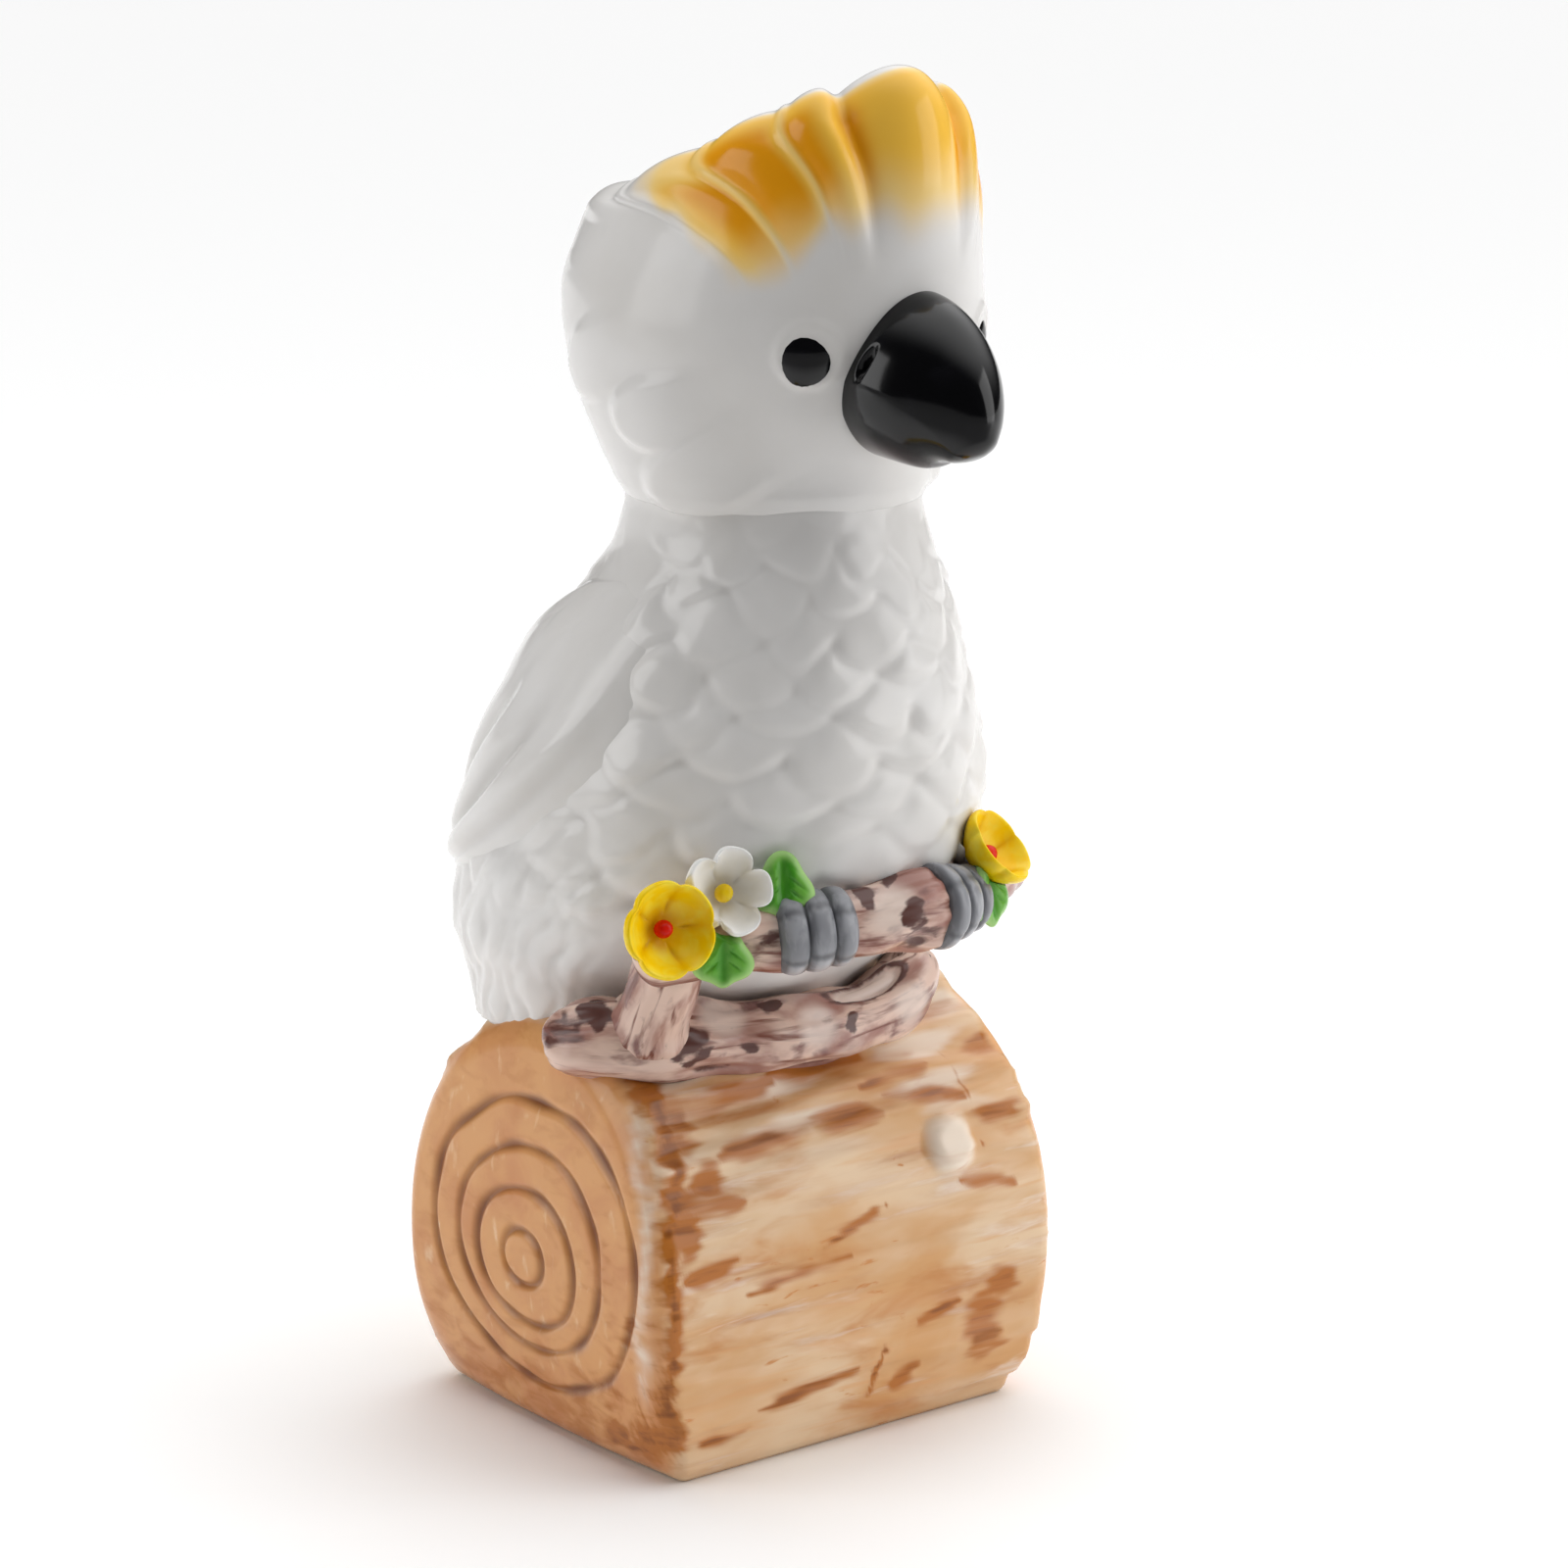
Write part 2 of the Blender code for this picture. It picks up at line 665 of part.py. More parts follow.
def torso_core():
    """The drained hollow of the torso, a wall's thickness inside its skin, its floor and its neck."""
    floor, neck = LOG_HEIGHT + CASTING_WALL, NECK_HEIGHT - CASTING_WALL
    inner = [
        torso_ring(level)
        for level in np.linspace(1.0, len(TORSO_RINGS) - 1, 11)
        if floor < LOG_HEIGHT + torso_ring(level).height < neck
    ]
    levels = [torso_ring_at(floor - LOG_HEIGHT), *inner, torso_ring_at(neck - LOG_HEIGHT)]
    rows = len(levels) + 1

    def place(turn, step):
        index = round(step * rows)
        if index in (0, rows):
            return ring_centre(levels[0 if index == 0 else -1])
        ring = levels[index - 1]
        sizes = (ring.half_width - CASTING_WALL, ring.front - CASTING_WALL, ring.back - CASTING_WALL)
        return ring_point(*sizes, 360.0 * turn, LOG_HEIGHT + ring.height)

    return helper(wrapped("torso_core", 24, rows, place, collection="cutters"))


# Head


def flute_columns():
    """The angles of the head's columns at the rim: a few to each crest feather, front to back to front."""
    edges = [-angle for angle in reversed(CREST_GROOVES_AT_RIM)] + list(CREST_GROOVES_AT_RIM)
    columns = []
    for start, end in zip(edges, edges[1:]):
        columns += list(np.linspace(start, end, COLUMNS_PER_FLUTE + 1)[:-1])
    return columns + [edges[-1]]


def flute_edge(angle):
    """How near a rim angle is to a groove: 0 in the middle of a crest feather, 1 in the groove."""
    edges = [-edge for edge in reversed(CREST_GROOVES_AT_RIM)] + list(CREST_GROOVES_AT_RIM)
    for start, end in zip(edges, edges[1:]):
        if start <= angle <= end:
            return abs(2 * (angle - start) / (end - start) - 1)
    return 0.0


def groove_depth(angle):
    """How deep the groove nearest to a rim angle is, as a share of its level's flute depth."""
    nearest = min(range(len(CREST_GROOVES_AT_RIM)), key=lambda at: abs(CREST_GROOVES_AT_RIM[at] - abs(angle)))
    return CREST_GROOVE_SHARES[nearest]


def gathered(angle):
    """The brow angle from which the crest feather at a rim angle rises."""
    rim = (0.0, *CREST_GROOVES_AT_RIM)
    brow = (0.0, *CREST_GROOVES_AT_BROW)
    return math.copysign(float(np.interp(abs(angle), rim, brow)), angle)


def head_point(angle, level):
    """A point of the head's skin on the crest column at a rim angle, at a level where 0 is the neck joint."""
    fan = spline(HEAD_RINGS, level)[-1]
    turned = fan * angle + (1 - fan) * gathered(angle)
    return head_skin(turned, level, flute_edge(angle) ** 2 * groove_depth(angle))


def head_skin(turned, level, sunk=0.0, lift=0.0):
    """A point of the head at an angle round from the beak, sunk by a share of the flutes and lifted off the skin."""
    ring = CrestRing(*spline(HEAD_RINGS, level))
    inwards = ring.flute * sunk - lift
    share_forward = ((1 + math.cos(math.radians(turned))) / 2) ** CREST_SLOPE_POWER
    height = ring.back_height + (ring.front_height - ring.back_height) * share_forward
    height -= CREST_SCALLOP * sunk * max(0.0, min(level - 5.0, 1.0))
    sizes = (ring.half_width - inwards, ring.front - inwards, ring.back - inwards)
    return ring_point(*sizes, turned, NECK_HEIGHT + JOINT_GAP + height)


def build_head(material):
    """The hollow head with its fluted crest, standing on the torso's neck."""
    columns = flute_columns()
    top = len(HEAD_RINGS) - 1
    levels = np.linspace(0.0, top, 2 * top + 5)
    rows = len(levels) + 1
    floor_centre = head_middle(0)
    crown_centre = head_middle(top)

    def place(turn, step):
        index = round(step * rows)
        if index == 0:
            return floor_centre
        if index == rows:
            return crown_centre
        return head_point(columns[round(turn * (len(columns) - 1))], levels[index - 1])

    head = wrapped("head", len(columns) - 1, rows, place, material)
    boolean(head, head_core())
    boolean(head, bpy.data.objects["air_drill"])
    return seat(head, [])


def head_middle(level):
    """The middle of one of the head's rings."""
    ring = CrestRing(*spline(HEAD_RINGS, level))
    height = NECK_HEIGHT + JOINT_GAP + (ring.front_height + ring.back_height) / 2
    return Vector((0.0, (ring.back - ring.front) / 2, height))


def head_core():
    """The drained hollow of the head, from above its floor to below the crest's flutes."""
    levels = (0.6, 1.3, 2.0, 2.7, 3.4, 4.0)
    rows = len(levels) + 1

    def place(turn, step):
        index = round(step * rows)
        if index in (0, rows):
            return head_middle(levels[0 if index == 0 else -1])
        ring = CrestRing(*spline(HEAD_RINGS, levels[index - 1]))
        height = NECK_HEIGHT + JOINT_GAP + min(ring.front_height, ring.back_height)
        sizes = (ring.half_width - CASTING_WALL, ring.front - CASTING_WALL, ring.back - CASTING_WALL)
        return ring_point(*sizes, 360.0 * turn, height)

    return helper(wrapped("head_core", 24, rows, place, collection="cutters"))


def build_beak(head, material):
    """The hooked beak, pressed into the face below the brow."""
    brow = head_skin(0.0, 4.0)
    rows = 2 * len(BEAK_RINGS)
    last = len(BEAK_RINGS) - 1

    def place(turn, step):
        at = min(max((step * rows - 1) / (rows - 2), 0.0), 1.0) * last
        reach, height, half_width, half_height, lean = spline(BEAK_RINGS, at)
        closed = 0.0 if step in (0.0, 1.0) else 1.0
        around, tilt = 2 * math.pi * turn, math.radians(lean)
        up = half_height * math.cos(around) * closed
        ridge = 1 - BEAK_RIDGE * max(math.cos(around), 0.0)
        return (
            half_width * math.sin(around) * ridge * closed,
            brow.y - reach - up * math.sin(tilt),
            brow.z + height + up * math.cos(tilt),
        )

    return seat(wrapped("beak", 20, rows, place, material), [head])


def build_eyes(head, material):
    """A glossy bead at each side of the brow."""
    for side, sign in SIDES:
        centre = head_skin(sign * EYE_ANGLE, EYE_RING, lift=EYE_STANDS_OUT - EYE_RADIUS)
        seat(ball(f"{side}_eye", EYE_RADIUS, centre, segments=14, material=material), [head])


# Wings and tail


def build_wings(torso, material):
    """A folded wing on each flank, thick at its leading edge and drawn to a tip over the rump."""
    return [
        seat(build_wing(f"{side}_wing", sign, material), [torso])
        for side, sign in SIDES
    ]


def build_wing(name, sign, material):
    """One wing as a thin cushion that follows the torso's skin."""
    last = len(WING_COURSE) - 1
    columns, rows = 16, 14

    def place(turn, step):
        lead_angle, lead_level, trail_angle, trail_level = spline(WING_COURSE, step * last)
        outside = turn <= 0.5
        across = 2 * turn if outside else 2 - 2 * turn
        angle = lead_angle + (trail_angle - lead_angle) * across
        level = lead_level + (trail_level - lead_level) * across
        swell = (1 - (2 * across - 1) ** 4) ** WING_EDGE * (1 - (2 * step - 1) ** 6) ** WING_EDGE
        lift = WING_THICKNESS * swell if outside else -WING_BURIED * swell
        if step in (0.0, 1.0):
            angle, level, lift = lead_angle, lead_level, 0.0
        return torso_point(sign * angle, level, lift)

    return wrapped(name, columns, rows, place, material)


def build_tail(torso, wings, log, material):
    """The short tail below the wing tips, standing on the log's back."""
    last = len(TAIL_COURSE) - 1
    columns, rows = 14, 8

    def place(turn, step):
        half_angle, level = spline(TAIL_COURSE, step * last)
        outside = turn <= 0.5
        across = (4 * turn - 1) if outside else (3 - 4 * turn)
        swell = (1 - across**4) ** WING_EDGE * (1 - (2 * step - 1) ** 6) ** WING_EDGE
        lift = TAIL_THICKNESS * swell if outside else -TAIL_BURIED * swell
        if step in (0.0, 1.0):
            across, lift = 0.0, 0.0
        return torso_point(180.0 + half_angle * across, level, lift)

    return seat(wrapped("tail", columns, rows, place, material), [log, torso, *wings])


# Branches and feet


def branch_path(points, count):
    """Evenly counted points along a smooth course."""
    return [spline(points, at) for at in np.linspace(0.0, len(points) - 1, count)]


def lower_branch_course():
    """The lower branch's middle line, lying on the log's arched top."""
    course = []
    for along, across, sink in LOWER_BRANCH_COURSE:
        y = across * LOG_DEPTH / 2
        height = log_top(y) + LOWER_BRANCH_RADIUS - 2 * PRESS_DEPTH - sink
        course.append((along * LOG_LENGTH / 2, y, height))
    return course


def build_lower_branch(log, torso, material):
    """The thick branch that lies across the log's top, in front of the bird."""
    path = branch_path(lower_branch_course(), 22)
    ends = np.linspace(-1.0, 1.0, len(path))
    radii = [
        (LOWER_BRANCH_RADIUS - LOWER_BRANCH_TAPER * end) * (1 - 0.4 * end**8) * (1 + 0.05 * math.sin(9 * end))
        for end in ends
    ]
    return seat(tube("lower_branch", path, radii, 3, material), [log, torso])


def perch_point(share):
    """A point of the perch's middle line, from -1 at the bird's right end to 1 at its left."""
    front = torso_ring(PERCH_RING).front
    return Vector(
        (
            share * PERCH_HALF_SPAN,
            -front - PERCH_RADIUS + PRESS_DEPTH + PERCH_BOW * share**2,
            LOG_HEIGHT + PERCH_RISE - PERCH_DROOP * share**2,
        )
    )


def perch_radius(share):
    """The perch's radius along its length, with slight waves, a knot between the feet and a thin left tip."""
    knot = math.exp(-(((share - PERCH_KNOT_ALONG) / PERCH_KNOT_WIDTH) ** 2))
    tip = min(max((share - PERCH_TAPER_STARTS) / (1 - PERCH_TAPER_STARTS), 0.0), 1.0)
    taper = 1 - PERCH_TIP_TAPER * tip**2 * (3 - 2 * tip)
    return (PERCH_RADIUS * (1 + 0.05 * math.sin(11 * share)) + PERCH_KNOT_SWELL * knot) * taper


def build_perch(torso, lower_branch, material):
    """The bowed perch with the stump that carries its right end on the lower branch."""
    shares = np.linspace(-1.0, 1.0, 25)
    radii = [perch_radius(share) for share in shares]
    perch = tube("perch", [perch_point(share) for share in shares], radii, 3, material)
    head_of_stump = perch_point(STUMP_ALONG)
    foot = Vector(spline(lower_branch_course(), STUMP_FOOT_SHARE))
    stump_path = [head_of_stump.lerp(foot, share) for share in (0.0, 0.35, 0.7, 1.0)]
    stump_radii = [STUMP_RADIUS * swell for swell in (0.9, 0.95, 1.05, 1.15)]
    stump = helper(tube("stump", stump_path, stump_radii, 3, collection="cutters"))
    boolean(perch, stump, "UNION")
    return seat(perch, [torso, lower_branch], [perch, stump])


def build_feet(torso, perch, material):
    """A foot at each side, its toes wrapped side by side over the perch."""
    return [
        build_foot(f"{side}_foot", sign, torso, perch, material)
        for side, sign in SIDES
    ]


def build_foot(name, sign, torso, perch, material):
    """One foot: ridged toes that grip the perch from the belly round to its underside."""
    columns, rows = 24, 4 * TOE_COUNT

    def place(turn, step):
        share = sign * FOOT_ALONG + FOOT_SHIFT + (step - 0.5) * FOOT_WIDTH / PERCH_HALF_SPAN
        middle = perch_point(share)
        along = (perch_point(share + 0.05) - perch_point(share - 0.05)).normalized()
        forward = along.cross(Vector((0.0, 0.0, 1.0))).normalized()
        upward = forward.cross(along).normalized()
        outside = turn <= 0.5
        wrap = 2 * turn if outside else 2 - 2 * turn
        turned = math.radians(TOE_WRAP_START + (TOE_WRAP_END - TOE_WRAP_START) * wrap)
        toe = step * TOE_COUNT
        aside = 2 * (toe - min(math.floor(toe), TOE_COUNT - 1)) - 1
        ridge = TOE_GROOVE + (1 - TOE_GROOVE) * math.sqrt(1 - abs(aside) ** 2.6)
        ends = math.sqrt(1 - abs(2 * wrap - 1) ** 3) * math.sqrt(1 - (2 * step - 1) ** 6)
        lift = TOE_STANDS_OUT * ridge * ends if outside else -TOE_BURIED * ends
        if step in (0.0, 1.0):
            turned, lift = 0.5 * math.radians(TOE_WRAP_START + TOE_WRAP_END), 0.0
        return middle + (upward * math.cos(turned) + forward * math.sin(turned)) * (perch_radius(share) + lift)

    return seat(wrapped(name, columns, rows, place, material), [perch, torso])


# Flowers and leaves


def sprig_frame(sprig):
    """The place of a sprig as a matrix whose Z axis is the way it faces."""
    centre = perch_point(sprig.along)
    centre += facing(sprig.stand_azimuth, sprig.stand_elevation) * sprig.stand_off
    outward = facing(sprig.face_azimuth, sprig.face_elevation)
    turn = outward.to_track_quat("Z", "Y").to_matrix().to_4x4()
    return Matrix.Translation(centre) @ turn


def flower_profile():
    """A flower's section from the back's middle over the rim to the cup's middle: radius share and height."""
    rim = FLOWER_CUP
    return (
        (0.0, -PETAL_THICKNESS),
        (0.45, -PETAL_THICKNESS * 0.8),
        (0.82, rim * 0.25),
        (1.0, rim * 0.85),
        (0.93, rim + PETAL_THICKNESS * 0.4),
        (0.62, rim * 0.45),
        (0.28, 0.0),
        (0.0, 0.0),
    )


def build_flower(sprig, material):
    """A cupped five-petal flower with notches between its petals."""
    profile = flower_profile()
    frame = sprig_frame(sprig)

    def place(turn, step):
        share, height = profile[round(step * (len(profile) - 1))]
        petal = abs(math.sin(PETAL_COUNT * math.pi * turn))
        radius = sprig.radius * share * (1 - PETAL_NOTCH * share**2 * (1 - petal) ** 2)
        angle = 2 * math.pi * turn
        return frame @ Vector((radius * math.cos(angle), radius * math.sin(angle), height))

    return wrapped(sprig.name, 6 * PETAL_COUNT, len(profile) - 1, place, material)


def build_bead(sprig, carriers, material):
    """The little ball in a flower's cup."""
    centre = sprig_frame(sprig) @ Vector((0.0, 0.0, BEAD_RADIUS * 0.7))
    bead = ball(sprig.name + "_bead", BEAD_RADIUS, centre, segments=10, material=material)
    return seat(bead, carriers)


def build_leaf(sprig, material):
    """A three-lobed leaf on a short stem, with a pressed middle vein."""
    frame = sprig_frame(sprig)
    columns = 24
    profile = ((0.0, -0.5), (0.75, -0.5), (1.0, 0.0), (0.7, 0.45), (0.3, 0.4), (0.0, 0.4))

    def place(turn, step):
        share, height = profile[round(step * (len(profile) - 1))]
        angle = 2 * math.pi * turn
        stem = math.exp(-(((turn - 0.75) * 360.0 / 20.0) ** 2))
        outline = sprig.radius * (1 + LEAF_LOBES * math.cos(3 * angle + math.pi / 2) + LEAF_STEM * stem)
        across, along = share * outline * math.cos(angle), share * outline * math.sin(angle)
        top = height * LEAF_THICKNESS
        if height > 0:
            top -= LEAF_VEIN * math.exp(-((across / (0.25 * sprig.radius)) ** 2))
        return frame @ Vector((across, along, top))

    return wrapped(sprig.name, columns, len(profile) - 1, place, material)


def build_sprigs(carriers, glazes):
    """Presses each flower with its bead, then each leaf, on the perch and on what was set before it."""
    carriers = list(carriers)
    kinds = ((YELLOW_FLOWERS, "yellow", "red"), (WHITE_FLOWERS, "white", "yellow"))
    for sprigs, petals, centre in kinds:
        for sprig in sprigs:
            carriers.append(seat(build_flower(sprig, glazes[petals]), carriers))
            carriers.append(build_bead(sprig, carriers, glazes[centre]))
    for sprig in LEAVES:
        carriers.append(seat(build_leaf(sprig, glazes["leaf"]), carriers))


def main():
    """Builds every piece, from the log up."""
    clear_scene()
    glazes = {
        "white": glaze("white_glaze", (0.84, 0.83, 0.82), 0.18),
        "black": glaze("black_enamel", (0.012, 0.012, 0.014), 0.10),
        "log": glaze("tan_bark_glaze", (0.66, 0.42, 0.22), 0.25),
        "branch": glaze("mauve_brown_glaze", (0.36, 0.23, 0.20), 0.25),
        "claw": glaze("grey_claw_glaze", (0.20, 0.20, 0.21), 0.25),
        "yellow": glaze("yellow_enamel", (0.85, 0.62, 0.02), 0.22),
        "red": glaze("red_enamel", (0.62, 0.02, 0.01), 0.22),
        "leaf": glaze("green_enamel", (0.12, 0.32, 0.05), 0.22),
    }
    log = build_log(glazes["log"])
    torso = build_torso(log, glazes["white"])
    head = build_head(glazes["white"])
    build_beak(head, glazes["black"])
    build_eyes(head, glazes["black"])
    wings = build_wings(torso, glazes["white"])
    build_tail(torso, wings, log, glazes["white"])
    lower_branch = build_lower_branch(log, torso, glazes["branch"])
    perch = build_perch(torso, lower_branch, glazes["branch"])
    feet = build_feet(torso, perch, glazes["claw"])
    build_sprigs([torso, perch, lower_branch, *wings, *feet], glazes)


main()
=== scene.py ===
"""Glazed porcelain cockatoo on a sawn log: its moulded detail, its painted finishes and a plain studio.

Metres, +Z up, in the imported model's frame: the bird faces -Y, so its right side is at -X, and the origin
is on the table under the middle of the log. Every moulded skin is a grid rolled into a closed form. Its
points and its brushed colours come from the same sizes, so a painted edge always lies on the moulded edge
that it follows.
"""

from __future__ import annotations

import logging
import math
from dataclasses import dataclass
from enum import Enum
from typing import Callable, Sequence

import bmesh
import bpy
import numpy as np
from mathutils import Matrix, Vector


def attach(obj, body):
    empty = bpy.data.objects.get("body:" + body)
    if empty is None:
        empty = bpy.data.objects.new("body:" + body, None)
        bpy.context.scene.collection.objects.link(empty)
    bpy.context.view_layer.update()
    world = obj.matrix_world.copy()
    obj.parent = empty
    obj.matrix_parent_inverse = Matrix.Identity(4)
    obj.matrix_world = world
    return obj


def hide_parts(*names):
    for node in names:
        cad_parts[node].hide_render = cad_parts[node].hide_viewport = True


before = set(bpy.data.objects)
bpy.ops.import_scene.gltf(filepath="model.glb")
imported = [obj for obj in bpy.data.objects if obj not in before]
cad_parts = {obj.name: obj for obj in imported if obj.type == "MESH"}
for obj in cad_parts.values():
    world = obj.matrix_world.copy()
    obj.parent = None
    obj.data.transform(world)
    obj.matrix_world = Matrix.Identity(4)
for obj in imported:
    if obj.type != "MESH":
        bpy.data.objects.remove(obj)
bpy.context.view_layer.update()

LOGGER = logging.getLogger("cockatoo")
WELD_DISTANCE = 1e-7
CURVE_SAMPLES = 4001
PATH_POINTS = 120
STREAK_SPAN = (0.28, 0.72)
STREAK_SHARE = 0.5
BODY = "root"
RANDOM_SEED = 11

Field = np.ndarray
Paint = dict[str, Field]
Shape = Callable[[Field, Field], tuple[Field, Paint]]
SizeRows = tuple[tuple[float, ...], ...]
LaidPaints = tuple[tuple[str, str], ...]
Tree = bpy.types.NodeTree
Socket = bpy.types.NodeSocket


class Side(Enum):
    """The bird's own sides, with the sign of their X."""

    RIGHT = -1.0
    LEFT = 1.0

    @property
    def label(self) -> str:
        """The side's name in a node's name."""
        return self.name.lower()


# Curves, fields and meshes


def course(points: Sequence[Sequence[float]], at: Field) -> Field:
    """Reads a smooth curve through some points.

    Args:
        points: the rows of numbers that the curve passes through.
        at: places along the curve, where 0 is the first point and 1 the second.

    Returns:
        The rows at those places, along one more axis than the places have.
    """
    rows = np.asarray(points, float)
    last = len(rows) - 1
    padded = np.vstack([2 * rows[0] - rows[1], rows, 2 * rows[-1] - rows[-2]])
    index = np.clip(np.floor(at).astype(int), 0, last - 1)
    share = (np.asarray(at, float) - index)[..., None]
    before, start, end, after = (padded[index + offset] for offset in range(4))
    slope_in, slope_out = (end - before) / 2, (after - start) / 2
    square, cube = share**2, share**3
    return (
        (2 * cube - 3 * square + 1) * start
        + (cube - 2 * square + share) * slope_in
        + (3 * square - 2 * cube) * end
        + (cube - square) * slope_out
    )


def soft_step(low: float, high: float, value: Field) -> Field:
    """A soft step from 0 at low to 1 at high."""
    share = np.clip((value - low) / (high - low), 0.0, 1.0)
    return share * share * (3.0 - 2.0 * share)


def bell(value: Field, width: float) -> Field:
    """A smooth bump of height 1 about 0."""
    return np.exp(-((value / width) ** 2))


def ripple(points: Field, lengths: Sequence[float], seed: int, waves: int = 9) -> Field:
    """Sums a few long waves into the uneven swell of hand-worked clay.

    Args:
        points: places in metres.
        lengths: the wave lengths along X, Y and Z.
        seed: the draw of directions and phases.
        waves: how many waves are summed.

    Returns:
        A field that mostly lies between -1 and 1.
    """
    draw = np.random.default_rng(seed)
    total = np.zeros(points.shape[:-1])
    for _ in range(waves):
        heading = draw.normal(size=3)
        heading /= np.linalg.norm(heading)
        turns = (points * (heading * draw.uniform(0.7, 1.5) / np.asarray(lengths))).sum(-1)
        total += np.sin(2 * math.pi * (turns + draw.uniform()))
    return total / math.sqrt(waves)


@dataclass(frozen=True)
class FeatherRows:
    """Overlapping rows of round-tipped feathers, each a little different from the next.

    A tip reaches over the next row by the bulge, and below the tip that covers it a feather takes the rise
    to swell. Both are counted in rows.
    """

    bulge: float
    rise: float
    seed: int
    uneven_tips: float = 0.16
    uneven_swell: float = 0.22
    crease: float = 0.56
    side_crease: float = 0.36
    edge_drop: float = 0.2
    edge_width: float = 0.12
    table_size: int = 64

    def tips(self, table: Field, across: Field, row: Field) -> tuple[Field, Field, Field]:
        """The feathers of a row.

        Args:
            table: the small differences between feathers, from -1 to 1.
            across: the place across the row, as a count of feathers.
            row: the row's number.

        Returns:
            Where the feathers end, how deep the crease below them is, and how much each one swells.
        """
        place = across + 0.5 * (row % 2)
        aside = 2 * (place - np.floor(place)) - 1
        odd = table[row % self.table_size, np.floor(place).astype(int) % self.table_size]
        end = row + 1 + (self.bulge + self.uneven_tips * odd[..., 0]) * (1 - aside**2)
        deep = self.crease + self.side_crease * np.abs(aside) ** 4
        return end, deep, 1 + self.uneven_swell * odd[..., 1]

    def height(self, across: Field, down: Field) -> Field:
        """The height of the feathers.

        Args:
            across: the place across a row, as a count of feathers.
            down: the place down from the first row, as a count of rows.

        Returns:
            About 0.1 to 0.5 in the creases below the tips, rising to about 1 on the feathers.
        """
        size = (self.table_size, self.table_size, 2)
        table = np.random.default_rng(self.seed).uniform(-1.0, 1.0, size=size)
        row = np.floor(down).astype(int)
        own, _, swell = self.tips(table, across, row)
        over, over_deep, over_swell = self.tips(table, across, row - 1)
        far, far_deep, _ = self.tips(table, across, row - 2)
        covered = over > down
        edge, above = np.where(covered, over, own), np.where(covered, far, over)
        deep = np.where(covered, far_deep, over_deep)
        crease = 1 - deep * bell(np.maximum(down - above, 0.0), self.rise)
        rounded = 1 - self.edge_drop * bell(edge - down, self.edge_width)
        return crease * rounded * np.where(covered, over_swell, swell)


def ring_point(half_width: Field, front: Field, back: Field, angle: Field, height: Field) -> Field:
    """A point on an oval ring.

    Args:
        half_width: the ring's reach to either side.
        front: its reach forwards.
        back: its reach backwards.
        angle: degrees round from the breast, positive to the bird's left.
        height: the ring's height.

    Returns:
        The points.
    """
    around = np.radians(angle)
    middle, half_depth = (back - front) / 2, (back + front) / 2
    return np.stack([half_width * np.sin(around), middle - half_depth * np.cos(around), height], axis=-1)


def unit(vectors: Field) -> Field:
    """Vectors of length 1."""
    return vectors / np.maximum(np.linalg.norm(vectors, axis=-1, keepdims=True), 1e-12)


def outward(points: Field) -> Field:
    """The normals of a rolled grid whose columns run to the left and whose rows run upwards."""
    ring = points[:, :-1]
    across = np.roll(ring, -1, axis=1) - np.roll(ring, 1, axis=1)
    across = np.concatenate([across, across[:, :1]], axis=1)
    return unit(np.cross(across, np.gradient(points, axis=0)))


def raised(points: Field, lift: Field) -> Field:
    """A rolled grid, moved out along its own normals."""
    return points + outward(points) * lift[..., None]


def closed_ends(points: Field) -> Field:
    """A rolled grid whose first and last rows are drawn to a point."""
    points = points.copy()
    points[0] = points[1, :-1].mean(axis=0)
    points[-1] = points[-2, :-1].mean(axis=0)
    return points


def denser_ends(step: Field, amount: float = 0.8) -> Field:
    """Shares from 0 to 1 that lie closer together near both ends."""
    return step - amount * np.sin(2 * math.pi * step) / (2 * math.pi)


def denser_near(
    share: Field, low: float, high: float, places: Sequence[float], width: float, amount: float
) -> Field:
    """Spreads shares over a span so that they lie closer together near some places.

    Args:
        share: even shares from 0 to 1.
        low: the start of the span.
        high: its end.
        places: where the shares gather.
        width: how far round a place they gather.
        amount: how much closer they lie there.

    Returns:
        Places in the span.
    """
    span = np.linspace(low, high, CURVE_SAMPLES)
    weight = 1 + amount * sum(bell(span - place, width) for place in places)
    travelled = np.concatenate([[0.0], np.cumsum((weight[1:] + weight[:-1]) / 2)])
    return np.interp(share * travelled[-1], travelled, span)


def softened(values: Field, across: int, along: int) -> Field:
    """Blurs a rolled grid's values, as thick glaze softens the clay below it.

    Args:
        values: one value for each point.
        across: how many times it is blurred round the form.
        along: how many times it is blurred along the form.

    Returns:
        The softer values.
    """
    ring = values[:, :-1]
    for _ in range(across):
        ring = (np.roll(ring, 1, axis=1) + 2 * ring + np.roll(ring, -1, axis=1)) / 4
    for _ in range(along):
        padded = np.pad(ring, ((1, 1), (0, 0)), mode="edge")
        ring = (padded[:-2] + 2 * padded[1:-1] + padded[2:]) / 4
    return np.concatenate([ring, ring[:, :1]], axis=1)


